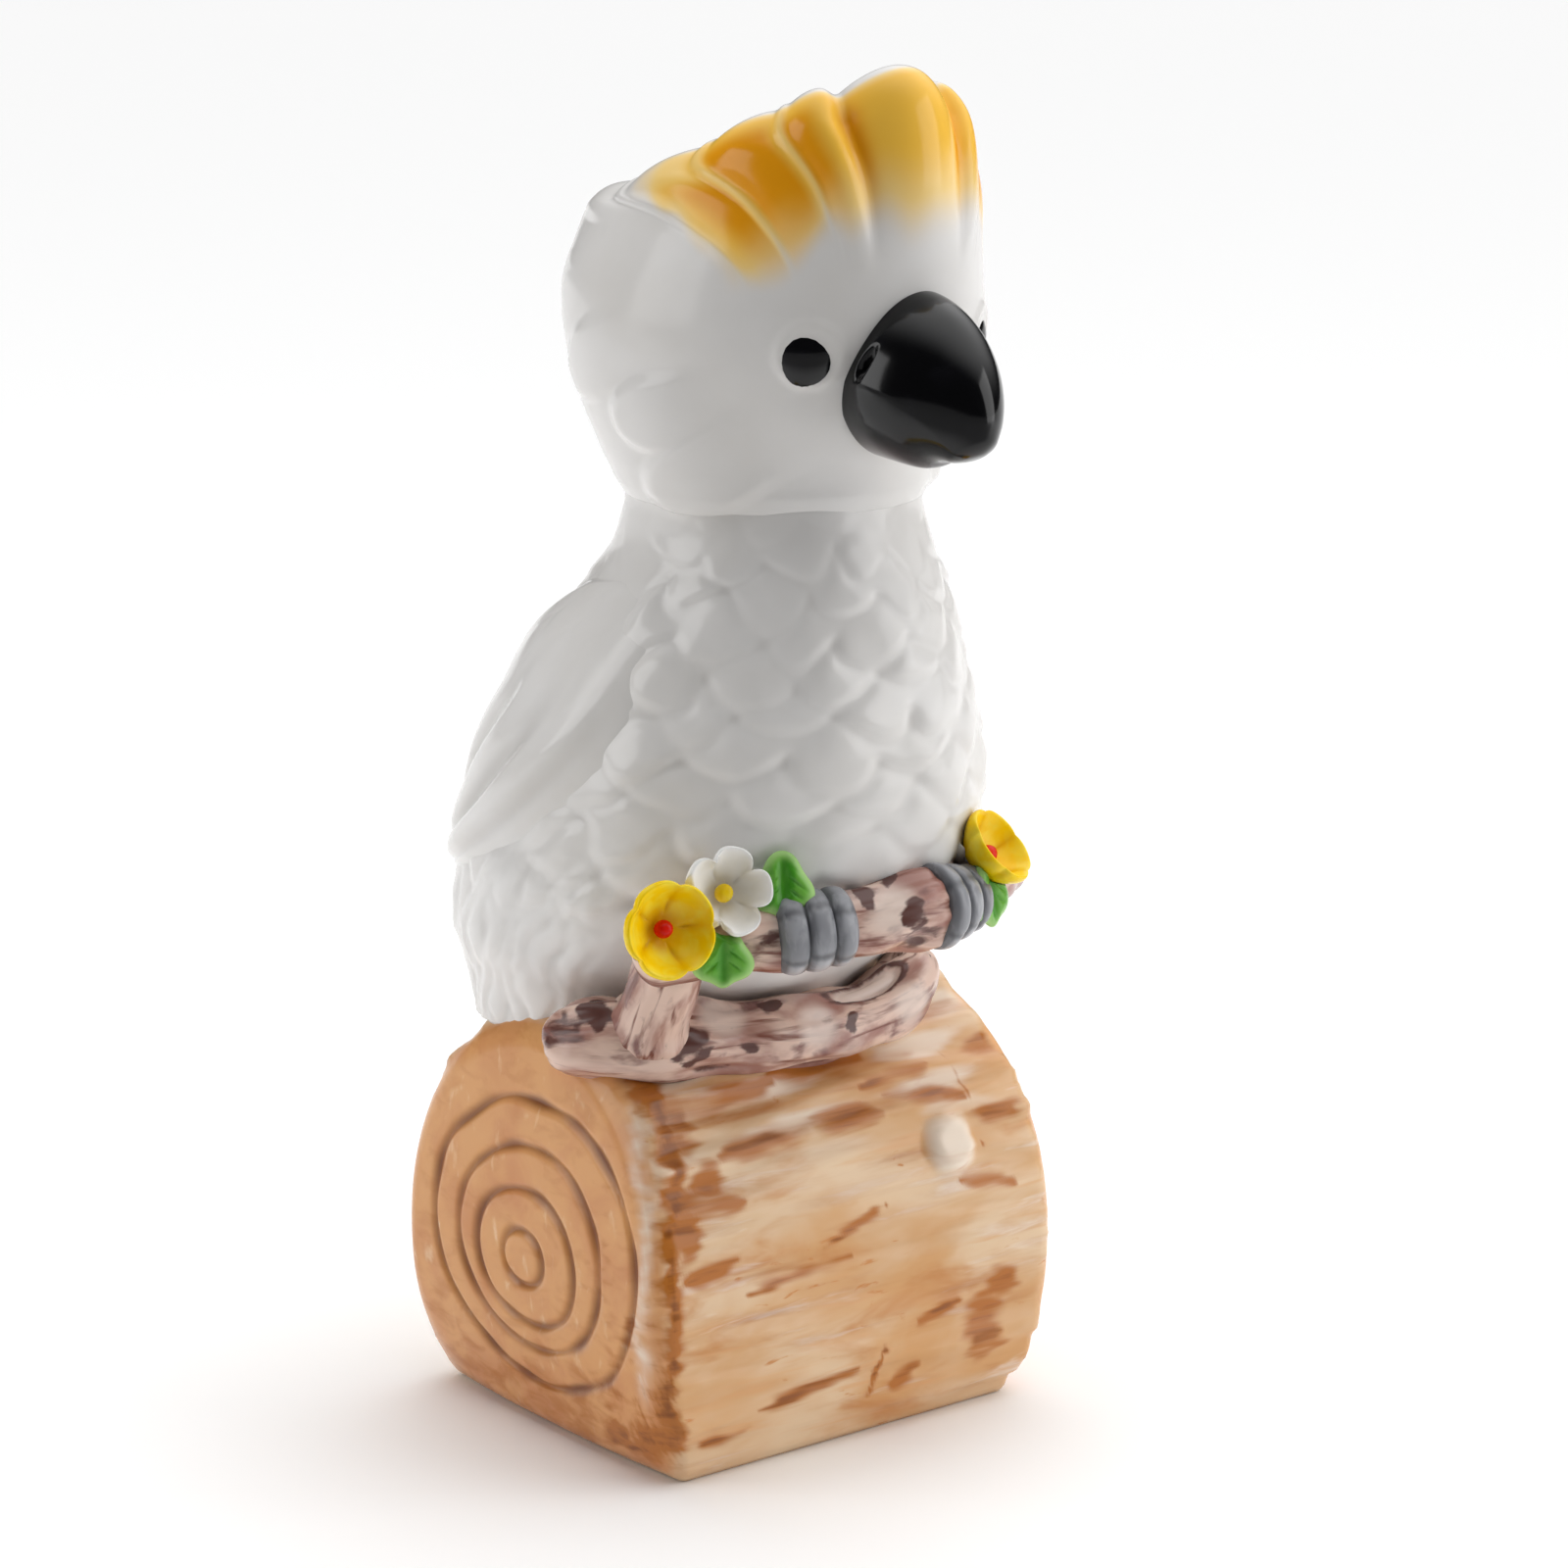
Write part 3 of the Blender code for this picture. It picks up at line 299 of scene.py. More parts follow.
def rolled_skin(name: str, columns: int, rows: int, shape: Shape) -> bpy.types.Mesh:
    """Rolls a grid into a closed skin.

    Args:
        name: the mesh's name.
        columns: faces round the form.
        rows: faces along the form.
        shape: gives points and paints for shares round the form and along it.

    Returns:
        The welded mesh, smooth, with one attribute for each paint.
    """
    shell = bmesh.new()
    bmesh.ops.create_grid(shell, x_segments=columns, y_segments=rows, size=0.5)
    mesh = bpy.data.meshes.new(name)
    shell.to_mesh(mesh)
    flat = np.empty(len(mesh.vertices) * 3, np.float32)
    mesh.vertices.foreach_get("co", flat)
    column = np.rint((flat[0::3] + 0.5) * columns).astype(int)
    row = np.rint((flat[1::3] + 0.5) * rows).astype(int)
    turn, step = np.meshgrid(np.linspace(0.0, 1.0, columns + 1), np.linspace(0.0, 1.0, rows + 1))
    points, paints = shape(turn, step)
    mesh.vertices.foreach_set("co", closed_ends(points)[row, column].astype(np.float32).ravel())
    for key, values in paints.items():
        kind, part = ("FLOAT_VECTOR", "vector") if values.ndim == 3 else ("FLOAT", "value")
        layer = mesh.attributes.new(key, kind, "POINT")
        layer.data.foreach_set(part, values[row, column].astype(np.float32).ravel())
    shell.clear()
    shell.from_mesh(mesh)
    bmesh.ops.remove_doubles(shell, verts=shell.verts, dist=WELD_DISTANCE)
    bmesh.ops.recalc_face_normals(shell, faces=shell.faces)
    if shell.calc_volume(signed=True) < 0:
        bmesh.ops.reverse_faces(shell, faces=shell.faces)
    shell.to_mesh(mesh)
    shell.free()
    mesh.shade_smooth()
    return mesh


def show(mesh: bpy.types.Mesh, finish: Finish, nodes: Sequence[str]) -> bpy.types.Object:
    """Puts a finished mesh in the scene in place of the solids that it stands for.

    Args:
        mesh: the piece's mesh, in place.
        finish: its fired surface.
        nodes: the solids that it replaces.

    Returns:
        The new piece.
    """
    piece = bpy.data.objects.new(mesh.name, mesh)
    bpy.context.scene.collection.objects.link(piece)
    mesh.materials.append(finish.material())
    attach(piece, BODY)
    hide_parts(*nodes)
    LOGGER.info("%s: %d faces, %s", piece.name, len(mesh.polygons), finish.name)
    return piece


# Finishes


def linear(hex_colour: str) -> tuple[float, float, float, float]:
    """An sRGB hex colour as linear red, green, blue and alpha."""
    parts = [int(hex_colour[at : at + 2], 16) / 255 for at in (1, 3, 5)]
    return (*(part / 12.92 if part <= 0.04045 else ((part + 0.055) / 1.055) ** 2.4 for part in parts), 1.0)


def add_node(tree: Tree, kind: str, inputs: dict | None = None, **settings) -> bpy.types.Node:
    """Adds one shader node.

    Args:
        tree: the material's nodes.
        kind: the node's type, without the ShaderNode in front.
        inputs: a value, or an output socket to link, by the name or number of an input.
        settings: the node's own properties.

    Returns:
        The new node.
    """
    node = tree.nodes.new("ShaderNode" + kind)
    for key, value in settings.items():
        setattr(node, key, value)
    for key, value in (inputs or {}).items():
        if isinstance(value, Socket):
            tree.links.new(value, node.inputs[key])
        else:
            node.inputs[key].default_value = value
    return node


def smooth_ramp(
    tree: Tree, value: Socket, low: float, high: float, start: float = 0.0, end: float = 1.0
) -> Socket:
    """Adds a smooth ramp.

    Args:
        tree: the material's nodes.
        value: what the ramp follows.
        low: the value where the ramp begins.
        high: the value where it ends.
        start: the ramp's first number.
        end: its last number.

    Returns:
        The ramp's socket.
    """
    span = {"Value": value, 1: low, 2: high, 3: start, 4: end}
    return add_node(tree, "MapRange", span, interpolation_type="SMOOTHSTEP").outputs[0]


@dataclass(frozen=True)
class Wash:
    """A colour brushed on in soft-edged patches.

    A patch has its usual size along X, Y and Z. It begins at low and is full at high.
    """

    colour: str
    size_mm: tuple[float, float, float]
    low: float
    high: float


@dataclass(frozen=True)
class Finish:
    """A fired surface: a glassy glaze over painted clay, with the faint waves of a dipped coat.

    The washes go over the body, and over those the laid paints, each by its name and colour.
    """

    name: str
    body: str = "#FFFFFF"
    washes: tuple[Wash, ...] = ()
    laid: LaidPaints = ()
    roughness: float = 0.14
    roughness_spread: float = 0.06
    ior: float = 1.42
    wave_mm: float = 7.0
    wave_depth: float = 0.0006
    wave_strength: float = 0.1

    def material(self) -> bpy.types.Material:
        """Returns the material, made on its first use."""
        found = bpy.data.materials.get(self.name)
        return found or self.make()

    def make(self) -> bpy.types.Material:
        """Makes the material.

        Returns:
            A glossy dielectric with its colours, uneven gloss and faint waves.
        """
        material = bpy.data.materials.new(self.name)
        material.use_nodes = True
        tree = material.node_tree
        shader = tree.nodes["Principled BSDF"]
        shader.inputs["IOR"].default_value = self.ior
        place = add_node(tree, "TexCoord").outputs["Object"]
        wave = add_node(tree, "TexNoise", {"Vector": place, "Scale": 1000 / self.wave_mm, "Detail": 1.0})
        spread = {"Value": wave.outputs[0], 3: self.roughness, 4: self.roughness + self.roughness_spread}
        tree.links.new(add_node(tree, "MapRange", spread).outputs[0], shader.inputs["Roughness"])
        bump = {"Height": wave.outputs[0], "Distance": self.wave_depth, "Strength": self.wave_strength}
        tree.links.new(add_node(tree, "Bump", bump).outputs[0], shader.inputs["Normal"])
        tree.links.new(self.colour(tree, place), shader.inputs["Base Color"])
        return material

    def colour(self, tree: Tree, place: Socket) -> Socket:
        """Adds the nodes of the painted colour.

        Args:
            tree: the material's nodes.
            place: the object's coordinates, in metres.

        Returns:
            The colour's socket.
        """
        painted = self.washed(tree, place, self.body, self.washes)
        for paint, colour in self.laid:
            painted = self.blend(tree, self.brushed(tree, paint), painted, colour)
        return painted

    def washed(self, tree: Tree, place: Socket, base: str, washes: Sequence[Wash]) -> Socket | str:
        """Brushes washes over a colour, one after the other.

        Args:
            tree: the material's nodes.
            place: the coordinates that the brush follows, in metres.
            base: the colour below them.
            washes: the washes, with the lowest first.

        Returns:
            The washed colour's socket.
        """
        painted = base
        for wash in washes:
            share = self.patches(tree, place, wash.size_mm, wash.low, wash.high)
            painted = self.blend(tree, share, painted, wash.colour)
        return painted

    def blend(
        self,
        tree: Tree,
        share: Socket | float,
        below: Socket | str,
        above: Socket | str,
    ) -> Socket:
        """Brushes one colour over another.

        Args:
            tree: the material's nodes.
            share: how much of the upper colour shows.
            below: the lower colour.
            above: the upper colour.

        Returns:
            The mixed colour's socket.
        """
        under = linear(below) if isinstance(below, str) else below
        over = linear(above) if isinstance(above, str) else above
        return add_node(tree, "Mix", {0: share, 6: under, 7: over}, data_type="RGBA").outputs[2]

    def patches(
        self, tree: Tree, place: Socket, size_mm: Sequence[float], low: float, high: float
    ) -> Socket:
        """Adds soft-edged patches of brushed colour.

        Args:
            tree: the material's nodes.
            place: the coordinates that the brush follows, in metres.
            size_mm: the patches' usual size along X, Y and Z.
            low: the noise where a patch begins.
            high: the noise where it is full.

        Returns:
            A share from 0 to 1.
        """
        scale = Vector([1000 / size for size in size_mm])
        stretched = add_node(tree, "Mapping", {"Vector": place, "Scale": scale})
        cloud = {"Vector": stretched.outputs[0], "Scale": 1.0, "Detail": 4.0, "Distortion": 0.4}
        return smooth_ramp(tree, add_node(tree, "TexNoise", cloud).outputs[0], low, high)

    def brushed(self, tree: Tree, paint: str) -> Socket:
        """The socket of a paint that was laid on the skin with its shape."""
        return add_node(tree, "Attribute", attribute_name=paint).outputs["Fac"]

    def streaked(self, tree: Tree, place: Socket, paint: str, base: Socket, wash: Wash) -> Socket:
        """Draws a laid paint over a colour, with the streaky edge of a loaded brush.

        Args:
            tree: the material's nodes.
            place: the coordinates that the brush follows, in metres.
            paint: the paint that was laid on the skin.
            base: the colour below it.
            wash: the colour, by the size of its streaks and the sum of paint and streak that shows it.

        Returns:
            The mixed colour's socket.
        """
        streaks = self.patches(tree, place, wash.size_mm, *STREAK_SPAN)
        laid = {0: streaks, 1: STREAK_SHARE, 2: self.brushed(tree, paint)}
        drawn = add_node(tree, "Math", laid, operation="MULTIPLY_ADD").outputs[0]
        return self.blend(tree, smooth_ramp(tree, drawn, wash.low, wash.high), base, wash.colour)


@dataclass(frozen=True)
class WhiteGlaze(Finish):
    """Clear glaze on white porcelain, with a grey painted shade laid in the hollows."""

    name: str = "white_porcelain_glaze"
    body: str = "#EAE8E6"
    washes: tuple[Wash, ...] = (Wash("#E1DEDA", (30, 30, 30), 0.3, 0.8),)
    # The grey laid in the hollows is painted shade.
    laid: LaidPaints = (("painted_shade", "#A8A39E"),)


@dataclass(frozen=True)
class CrestGlaze(WhiteGlaze):
    """White porcelain with airbrushed amber on the crest feathers, deeper where it ran together."""

    name: str = "crest_glaze_with_amber"
    ior: float = 1.34
    haze: str = "#FBE5AA"
    amber: str = "#FFC84C"
    deep_amber: str = "#EE9900"
    hazy_until: float = 0.5

    def colour(self, tree: Tree, place: Socket) -> Socket:
        """Sprays the amber over the white."""
        white = super().colour(tree, place)
        blush = self.brushed(tree, "blush")
        hazy = self.blend(tree, smooth_ramp(tree, blush, 0.0, self.hazy_until), white, self.haze)
        sprayed = self.blend(tree, blush, hazy, self.amber)
        return self.blend(tree, self.brushed(tree, "pool"), sprayed, self.deep_amber)


@dataclass(frozen=True)
class BlackEnamel(Finish):
    """Black overglaze enamel, very glossy, that thins to brown at its brushed edge."""

    name: str = "glossy_black_enamel"
    roughness: float = 0.10
    roughness_spread: float = 0.06
    ior: float = 1.40
    body: str = "#0B0B0D"
    washes: tuple[Wash, ...] = (Wash("#17171B", (6, 6, 6), 0.5, 0.9),)
    laid: LaidPaints = (("thin", "#4A3838"),)


@dataclass(frozen=True)
class BarkGlaze(Finish):
    """Cream underglaze with tan and brown brushed along the grain, and darker wash in the cut rings."""

    name: str = "brushed_bark_glaze"
    roughness: float = 0.2
    ior: float = 1.38
    body: str = "#E9CBA7"
    washes: tuple[Wash, ...] = (
        Wash("#D8A46D", (34, 24, 16), 0.36, 0.66),
        Wash("#CC8C50", (20, 10, 7), 0.52, 0.76),
        Wash("#E0AA76", (24, 5, 2.2), 0.54, 0.82),
        Wash("#CF8B4E", (7, 4, 2.2), 0.66, 0.74),
        Wash("#FBEFDF", (22, 6, 2.6), 0.58, 0.80),
    )
    sawn: str = "#E2A66C"
    sawn_washes: tuple[Wash, ...] = (
        Wash("#D69460", (14, 10, 10), 0.36, 0.72),
        Wash("#F3CBA0", (9, 3, 6), 0.62, 0.80),
    )
    # Cream for bare clay, and for the painted highlight down the sawn end's front edge.
    bare: str = "#FAF0E2"
    stroke: Wash = Wash("#B8702F", (24, 6, 2.6), 0.25, 1.05)
    stroke_core: Wash = Wash("#8A4E20", (20, 4, 1.4), 0.95, 1.50)
    ring: str = "#7C441E"

    def colour(self, tree: Tree, place: Socket) -> Socket:
        """Brushes the bark and the sawn ends, then draws the strokes and the rings over them."""
        bark = self.washed(tree, place, self.body, self.washes)
        ends = self.washed(tree, place, self.sawn, self.sawn_washes)
        painted = self.blend(tree, self.brushed(tree, "sawn"), bark, ends)
        painted = self.blend(tree, self.brushed(tree, "pale"), painted, self.bare)
        for wash in (self.stroke, self.stroke_core):
            painted = self.streaked(tree, place, "wash", painted, wash)
        return self.blend(tree, self.brushed(tree, "ring"), painted, self.ring)


@dataclass(frozen=True)
class BranchGlaze(Finish):
    """Pinkish cream with mauve-brown washes drawn along the branch, dark veins, darker daubs and painted
    shade in the hollows.
    """

    name: str = "mauve_branch_glaze"
    roughness: float = 0.18
    body: str = "#E6C8B8"
    washes: tuple[Wash, ...] = (
        Wash("#A5766A", (13, 5, 5), 0.40, 0.64),
        Wash("#8A625C", (7, 4, 4), 0.54, 0.70),
        Wash("#7C4A3E", (15, 1.8, 1.8), 0.53, 0.68),
        Wash("#5E3C36", (6, 3, 3), 0.68, 0.76),
    )
    laid: LaidPaints = (("pale", "#EEDCD0"),)
    # One dark colour draws both the daubs and the painted shade.
    daub: Wash = Wash("#5E3C36", (3.2, 1.6, 1.6), 0.5, 1.05)

    def colour(self, tree: Tree, place: Socket) -> Socket:
        """Lays the washes along the straightened branch, then the daubs and the painted shade."""
        straight = add_node(tree, "Attribute", attribute_name="straight").outputs["Vector"]
        return self.streaked(tree, straight, "shade", super().colour(tree, straight), self.daub)


@dataclass(frozen=True)
class ClawGlaze(Finish):
    """Slate-grey glaze, with a painted highlight on the ridges of the toes and painted shade between them.
    """

    name: str = "slate_claw_glaze"
    roughness: float = 0.16
    body: str = "#77787D"
    washes: tuple[Wash, ...] = (Wash("#96979C", (2.0, 2.0, 5), 0.45, 0.7),)
    # The pale ridge colour is a painted highlight; the dark one is painted shade.
    laid: LaidPaints = (("ridge", "#BDBEC3"), ("painted_shade", "#46474B"))


@dataclass(frozen=True)
class PetalEnamel(Finish):
    """Thick overglaze enamel on pressed petals and beads, paler in patches, with painted shade in the
    hollows.
    """

    name: str = "yellow_petal_enamel"
    roughness: float = 0.18
    ior: float = 1.26
    body: str = "#FFD400"
    # The deep colour is the painted shade.
    deep: str = "#E6A800"
    pale: str = "#FFE540"

    def colour(self, tree: Tree, place: Socket) -> Socket:
        """Paints shade into the cup, the folds between petals and the seat of each bead."""
        painted = self.washed(tree, place, self.body, [Wash(self.pale, (3, 3, 3), 0.35, 0.75)])
        return self.blend(tree, self.brushed(tree, "painted_shade"), painted, self.deep)


@dataclass(frozen=True)
class LeafEnamel(Finish):
    """Green enamel, with painted shade along the pressed veins, and thin at the edge."""

    name: str = "green_leaf_enamel"
    roughness: float = 0.18
    ior: float = 1.30
    body: str = "#70B446"
    washes: tuple[Wash, ...] = (Wash("#459526", (2.5, 2.5, 4), 0.4, 0.7),)
    # The dark green laid in the veins is painted shade.
    laid: LaidPaints = (("edge", "#B4D98C"), ("painted_shade", "#459128"))


WHITE = WhiteGlaze()
CREST = CrestGlaze()
BLACK = BlackEnamel()
BARK = BarkGlaze()
BRANCH = BranchGlaze()
CLAW = ClawGlaze()
YELLOW = PetalEnamel()
# Each deep colour below is the painted shade of its enamel.
WHITE_PETAL = PetalEnamel("white_petal_enamel", body="#F5F4F1", deep="#DCD9D2", pale="#FAF9F7")
RED_BEAD = PetalEnamel("red_bead_enamel", body="#D01408", deep="#A00A04", pale="#DC2A16")
YELLOW_BEAD = PetalEnamel("yellow_bead_enamel", body="#F0C808", deep="#D9A400", pale="#F6D83C")
LEAF = LeafEnamel()


# Log


@dataclass
class Log:
    """The sawn log: an arched section with a flat foot, rings cut in its ends and a knot on its front."""

    length: float = 0.0785
    depth: float = 0.0680
    height: float = 0.0660
    belly_height: float = 0.0260
    foot_depth: float = 0.0590
    edge_radius: float = 0.0040
    end_rounding: float = 0.0045
    arch_power: float = 2.25
    foot_power: float = 4.0
    pith_back: float = 0.0040
    ring_oval: float = 8.0
    # Growth rings on the sawn ends: their middle, back and up, then their half width and half height
    rings: SizeRows = (
        (0.0011, 0.0287, 0.0050, 0.0044),
        (0.0004, 0.0290, 0.0127, 0.0107),
        (-0.0003, 0.0306, 0.0188, 0.0160),
        (-0.0014, 0.0314, 0.0266, 0.0226),
    )
    ring_width: float = 0.0014
    ring_depth: float = 0.0007
    ring_wander: float = 0.0003
    thinnest_ring: float = 0.0004
    knot_radius: float = 0.0052
    knot_stands_out: float = 0.0022
    knot_along: float = 0.0190
    knot_height: float = 0.0440
    corner_inset: float = 0.0030
    corner_lean: float = 0.0055
    stripe_forward: float = 0.0297
    stripe_lean: float = 0.0075
    stripe_width: float = 0.0013
    stroke_spread: float = 1.25
    # Brush strokes on the front: where each starts and ends, along and up, then its width
    strokes: tuple[tuple[float, float, float, float, float], ...] = (
        (-0.0235, 0.0495, -0.0060, 0.0512, 0.0015),
        (-0.0060, 0.0512, 0.0070, 0.0506, 0.0016),
        (-0.0290, 0.0555, -0.0100, 0.0575, 0.0014),
        (-0.0100, 0.0590, 0.0080, 0.0580, 0.0016),
        (0.0050, 0.0545, 0.0190, 0.0556, 0.0012),
        (0.0235, 0.0560, 0.0250, 0.0430, 0.0009),
        (0.0200, 0.0380, 0.0300, 0.0360, 0.0008),
        (-0.0330, 0.0330, -0.0240, 0.0350, 0.0012),
        (-0.0330, 0.0440, -0.0220, 0.0430, 0.0013),
        (-0.0199, 0.0100, -0.0011, 0.0122, 0.0010),
        (0.0012, 0.0078, 0.0040, 0.0145, 0.0012),
        (0.0055, 0.0080, 0.0110, 0.0105, 0.0011),
        (-0.0310, 0.0060, -0.0210, 0.0075, 0.0009),
        (0.0110, 0.0175, 0.0190, 0.0195, 0.0009),
        (-0.0080, 0.0330, 0.0050, 0.0375, 0.0007),
        (-0.0230, 0.0290, -0.0020, 0.0310, 0.0006),
        (0.0090, 0.0530, 0.0230, 0.0505, 0.0010),
    )
    # Brown patches on the front: their middle, along and up, then their half width and half height
    brown_patches: SizeRows = (
        (-0.0300, 0.0540, 0.0050, 0.0045),
        (-0.0270, 0.0470, 0.0035, 0.0030),
        (-0.0325, 0.0400, 0.0030, 0.0060),
        (0.0240, 0.0130, 0.0050, 0.0065),
        (0.0280, 0.0205, 0.0040, 0.0025),
        (0.0290, 0.0470, 0.0060, 0.0020),
    )
    bark_relief: float = 0.00045
    columns: int = 280
    end_rows: int = 80
    edge_rows: int = 8
    side_rows: int = 140

    def top(self, across: Field) -> Field:
        """The height of the arched top at a distance from its middle."""
        share = np.minimum(np.abs(across) / (self.depth / 2), 1.0)
        rise = self.height - self.belly_height
        return self.belly_height + rise * (1 - share**self.arch_power) ** (1 / self.arch_power)

    def half_length(self, height: Field) -> Field:
        """Half the length at a height: the ends are fullest at the belly."""
        reach = np.where(height > self.belly_height, self.height - self.belly_height, self.belly_height)
        return self.length / 2 - self.end_rounding * ((height - self.belly_height) / reach) ** 2

    def outline(self, turn: Field) -> tuple[Field, Field, Field]:
        """The arched outline, evenly spaced.

        Args:
            turn: shares of the way round, from the back over the top.

        Returns:
            The outline's Y, its Z, and the angle of each point.
        """
        angle = np.linspace(0.0, 2 * math.pi, CURVE_SAMPLES)
        rising = np.sin(angle) >= 0
        foot_share = (self.foot_depth / self.depth) ** self.foot_power
        below = self.belly_height / (1 - foot_share) ** (1 / self.foot_power)
        power = 2 / np.where(rising, self.arch_power, self.foot_power)
        reach = np.where(rising, self.height - self.belly_height, below)
        across = self.depth / 2 * np.sign(np.cos(angle)) * np.abs(np.cos(angle)) ** power
        height = self.belly_height + reach * np.sign(np.sin(angle)) * np.abs(np.sin(angle)) ** power
        height = np.maximum(height, 0.0)
        travelled = np.concatenate([[0.0], np.cumsum(np.hypot(np.diff(across), np.diff(height)))])
        at = turn * travelled[-1]
        return tuple(np.interp(at, travelled, values) for values in (across, height, angle))

    def rows(self) -> Field:
        """The rows from one pith to the other: side, depth in from the end, and share of the outline."""
        half_depth = self.depth / 2
        shares = np.linspace(0.0, 1 - self.edge_radius / half_depth, self.end_rows)
        face = [(0.0, share) for share in shares]
        for lean in np.radians(np.linspace(0.0, 90.0, self.edge_rows + 1)[1:]):
            inwards = self.edge_radius * (1 - math.sin(lean))
            face.append((self.edge_radius * (1 - math.cos(lean)), 1 - inwards / half_depth))
        near = [(-1.0, depth, share) for depth, share in face]
        along = [(side, self.edge_radius, 1.0) for side in np.linspace(-1.0, 1.0, self.side_rows + 1)[1:-1]]
        far = [(1.0, depth, share) for depth, share in reversed(face)]
        return np.array(near + along + far)

    def shape(self, turn: Field, step: Field) -> tuple[Field, Paint]:
        """The log's points and paints."""
        side, depth, share = (np.broadcast_to(part[:, None], turn.shape) for part in self.rows().T)
        across, height, angle = self.outline(turn)
        reach = np.where(np.sin(angle) >= 0, self.height - self.belly_height, self.belly_height)
        oval_across = self.depth / 2 * np.cos(angle)
        oval_height = self.belly_height + reach * np.sin(angle)
        outer = share**self.ring_oval
        across = oval_across + (across - oval_across) * outer
        height = oval_height + (height - oval_height) * outer
        height = self.belly_height + (height - self.belly_height) * share
        across = self.pith_back + (across - self.pith_back) * share
        along = side * (self.half_length(height) - depth)
        points = np.stack([along, across, height], axis=-1)
        sawn = soft_step(0.999, 0.97, share)
        foot = soft_step(0.0025, 0.0, height)
        cut, ring = self.growth(points, sawn)
        bark = self.bark(points) * (1 - sawn) * (1 - foot)
        lift = bark - self.ring_depth * cut
        points = raised(points, lift * (1 - foot))
        points[..., 2] = np.maximum(points[..., 2], 0.0)
        return points, {"sawn": sawn, "ring": ring, **self.washes(points, sawn, bark)}

    def growth(self, points: Field, sawn: Field) -> tuple[Field, Field]:
        """The cut growth rings: how deep the groove is, and how dark its wash, from 0 to 1."""
        wander = self.ring_wander * ripple(points, (0.04, 0.020, 0.020), RANDOM_SEED + 11)
        uneven = ripple(points, (0.04, 0.010, 0.010), RANDOM_SEED + 12)
        cut = np.zeros(sawn.shape)
        for back, up, half_width, half_height in self.rings:
            across, height = points[..., 1] - back, points[..., 2] - up
            turned = np.arctan2(height / half_height, across / half_width)
            radius = np.hypot(half_width * np.cos(turned), half_height * np.sin(turned))
            away = np.hypot(across, height) - radius + wander
            width = self.ring_width / 2 * (1 + 0.25 * uneven)
            cut = np.maximum(cut, bell(away, np.maximum(width, self.thinnest_ring)))
        return cut * sawn, cut * sawn * np.clip(0.72 + 0.22 * uneven, 0.3, 1.0)

    def bark(self, points: Field) -> Field:
        """The shallow carved waves along the bark and the knot on the front."""
        along, across, height = np.moveaxis(points, -1, 0)
        carved = ripple(points, (0.05, 0.011, 0.007), RANDOM_SEED, 12)
        fine = ripple(points, (0.02, 0.004, 0.0028), RANDOM_SEED + 1, 12)
        near_top = 1 + 0.9 * soft_step(0.040, 0.052, height)
        aside = np.hypot(along - self.knot_along, height - self.knot_height) / self.knot_radius
        knot = soft_step(1.05, 0.45, aside) * (across < 0)
        return self.bark_relief * (near_top * carved + 0.4 * fine) + 0.75 * self.knot_stands_out * knot

    def brushwork(self, points: Field, uneven: Field, rough: Field) -> Field:
        """The brown brushed on the front.

        Args:
            points: the log's points.
            uneven: a slow field that breaks up the brown.
            rough: a fast field that roughens its edges.

        Returns:
            How much brown lies down the sawn corner, in the strokes and in the patches, from 0 to 1.
        """
        along, _, height = np.moveaxis(points, -1, 0)
        lean = self.corner_lean * soft_step(0.030, 0.060, height)
        corner = along + self.length / 2 - self.corner_inset - lean - 0.0007 * uneven
        spread = 0.0015 + 0.0012 * soft_step(0.036, 0.060, height)
        brown = 0.95 * bell(corner, spread * np.clip(1 + 0.5 * rough, 0.5, 1.8))
        broken = 0.95 * np.clip(0.9 + 0.25 * uneven, 0.6, 1.0)
        for start, low, end, high, width in self.strokes:
            run = np.clip((along - start) / (end - start), 0.0, 1.0)
            aside = np.hypot(along - start - run * (end - start), height - low - run * (high - low))
            tapered = self.stroke_spread * width * (1 - 0.6 * np.abs(2 * run - 1) ** 3)
            brown = np.maximum(brown, broken * bell(aside + 0.0003 * rough, tapered))
        for middle, up, half_width, half_height in self.brown_patches:
            away = np.hypot((along - middle) / half_width, (height - up) / half_height)
            brown = np.maximum(brown, 0.75 * soft_step(1.15, 0.35, away + 0.22 * rough))
        return brown

    def painted_edge_highlight(self, points: Field, uneven: Field, rough: Field) -> Field:
        """The painted highlight: a pale stripe down the front edge of the sawn end.

        Args:
            points: the log's points.
            uneven: a slow field that bends the stripe.
            rough: a fast field that breaks it up.

        Returns:
            How strong the painted highlight is, from 0 to 1.
        """
        along, across, height = np.moveaxis(points, -1, 0)
        lean = self.stripe_lean * soft_step(0.040, 0.060, height)
        stripe = bell(across + self.stripe_forward - lean + 0.0006 * uneven, self.stripe_width)
        stripe = stripe * soft_step(-0.030, -0.036, along) * np.clip(0.7 + 0.3 * rough, 0.2, 1.0)
        return stripe * soft_step(0.010, 0.020, height) * soft_step(0.062, 0.054, height)

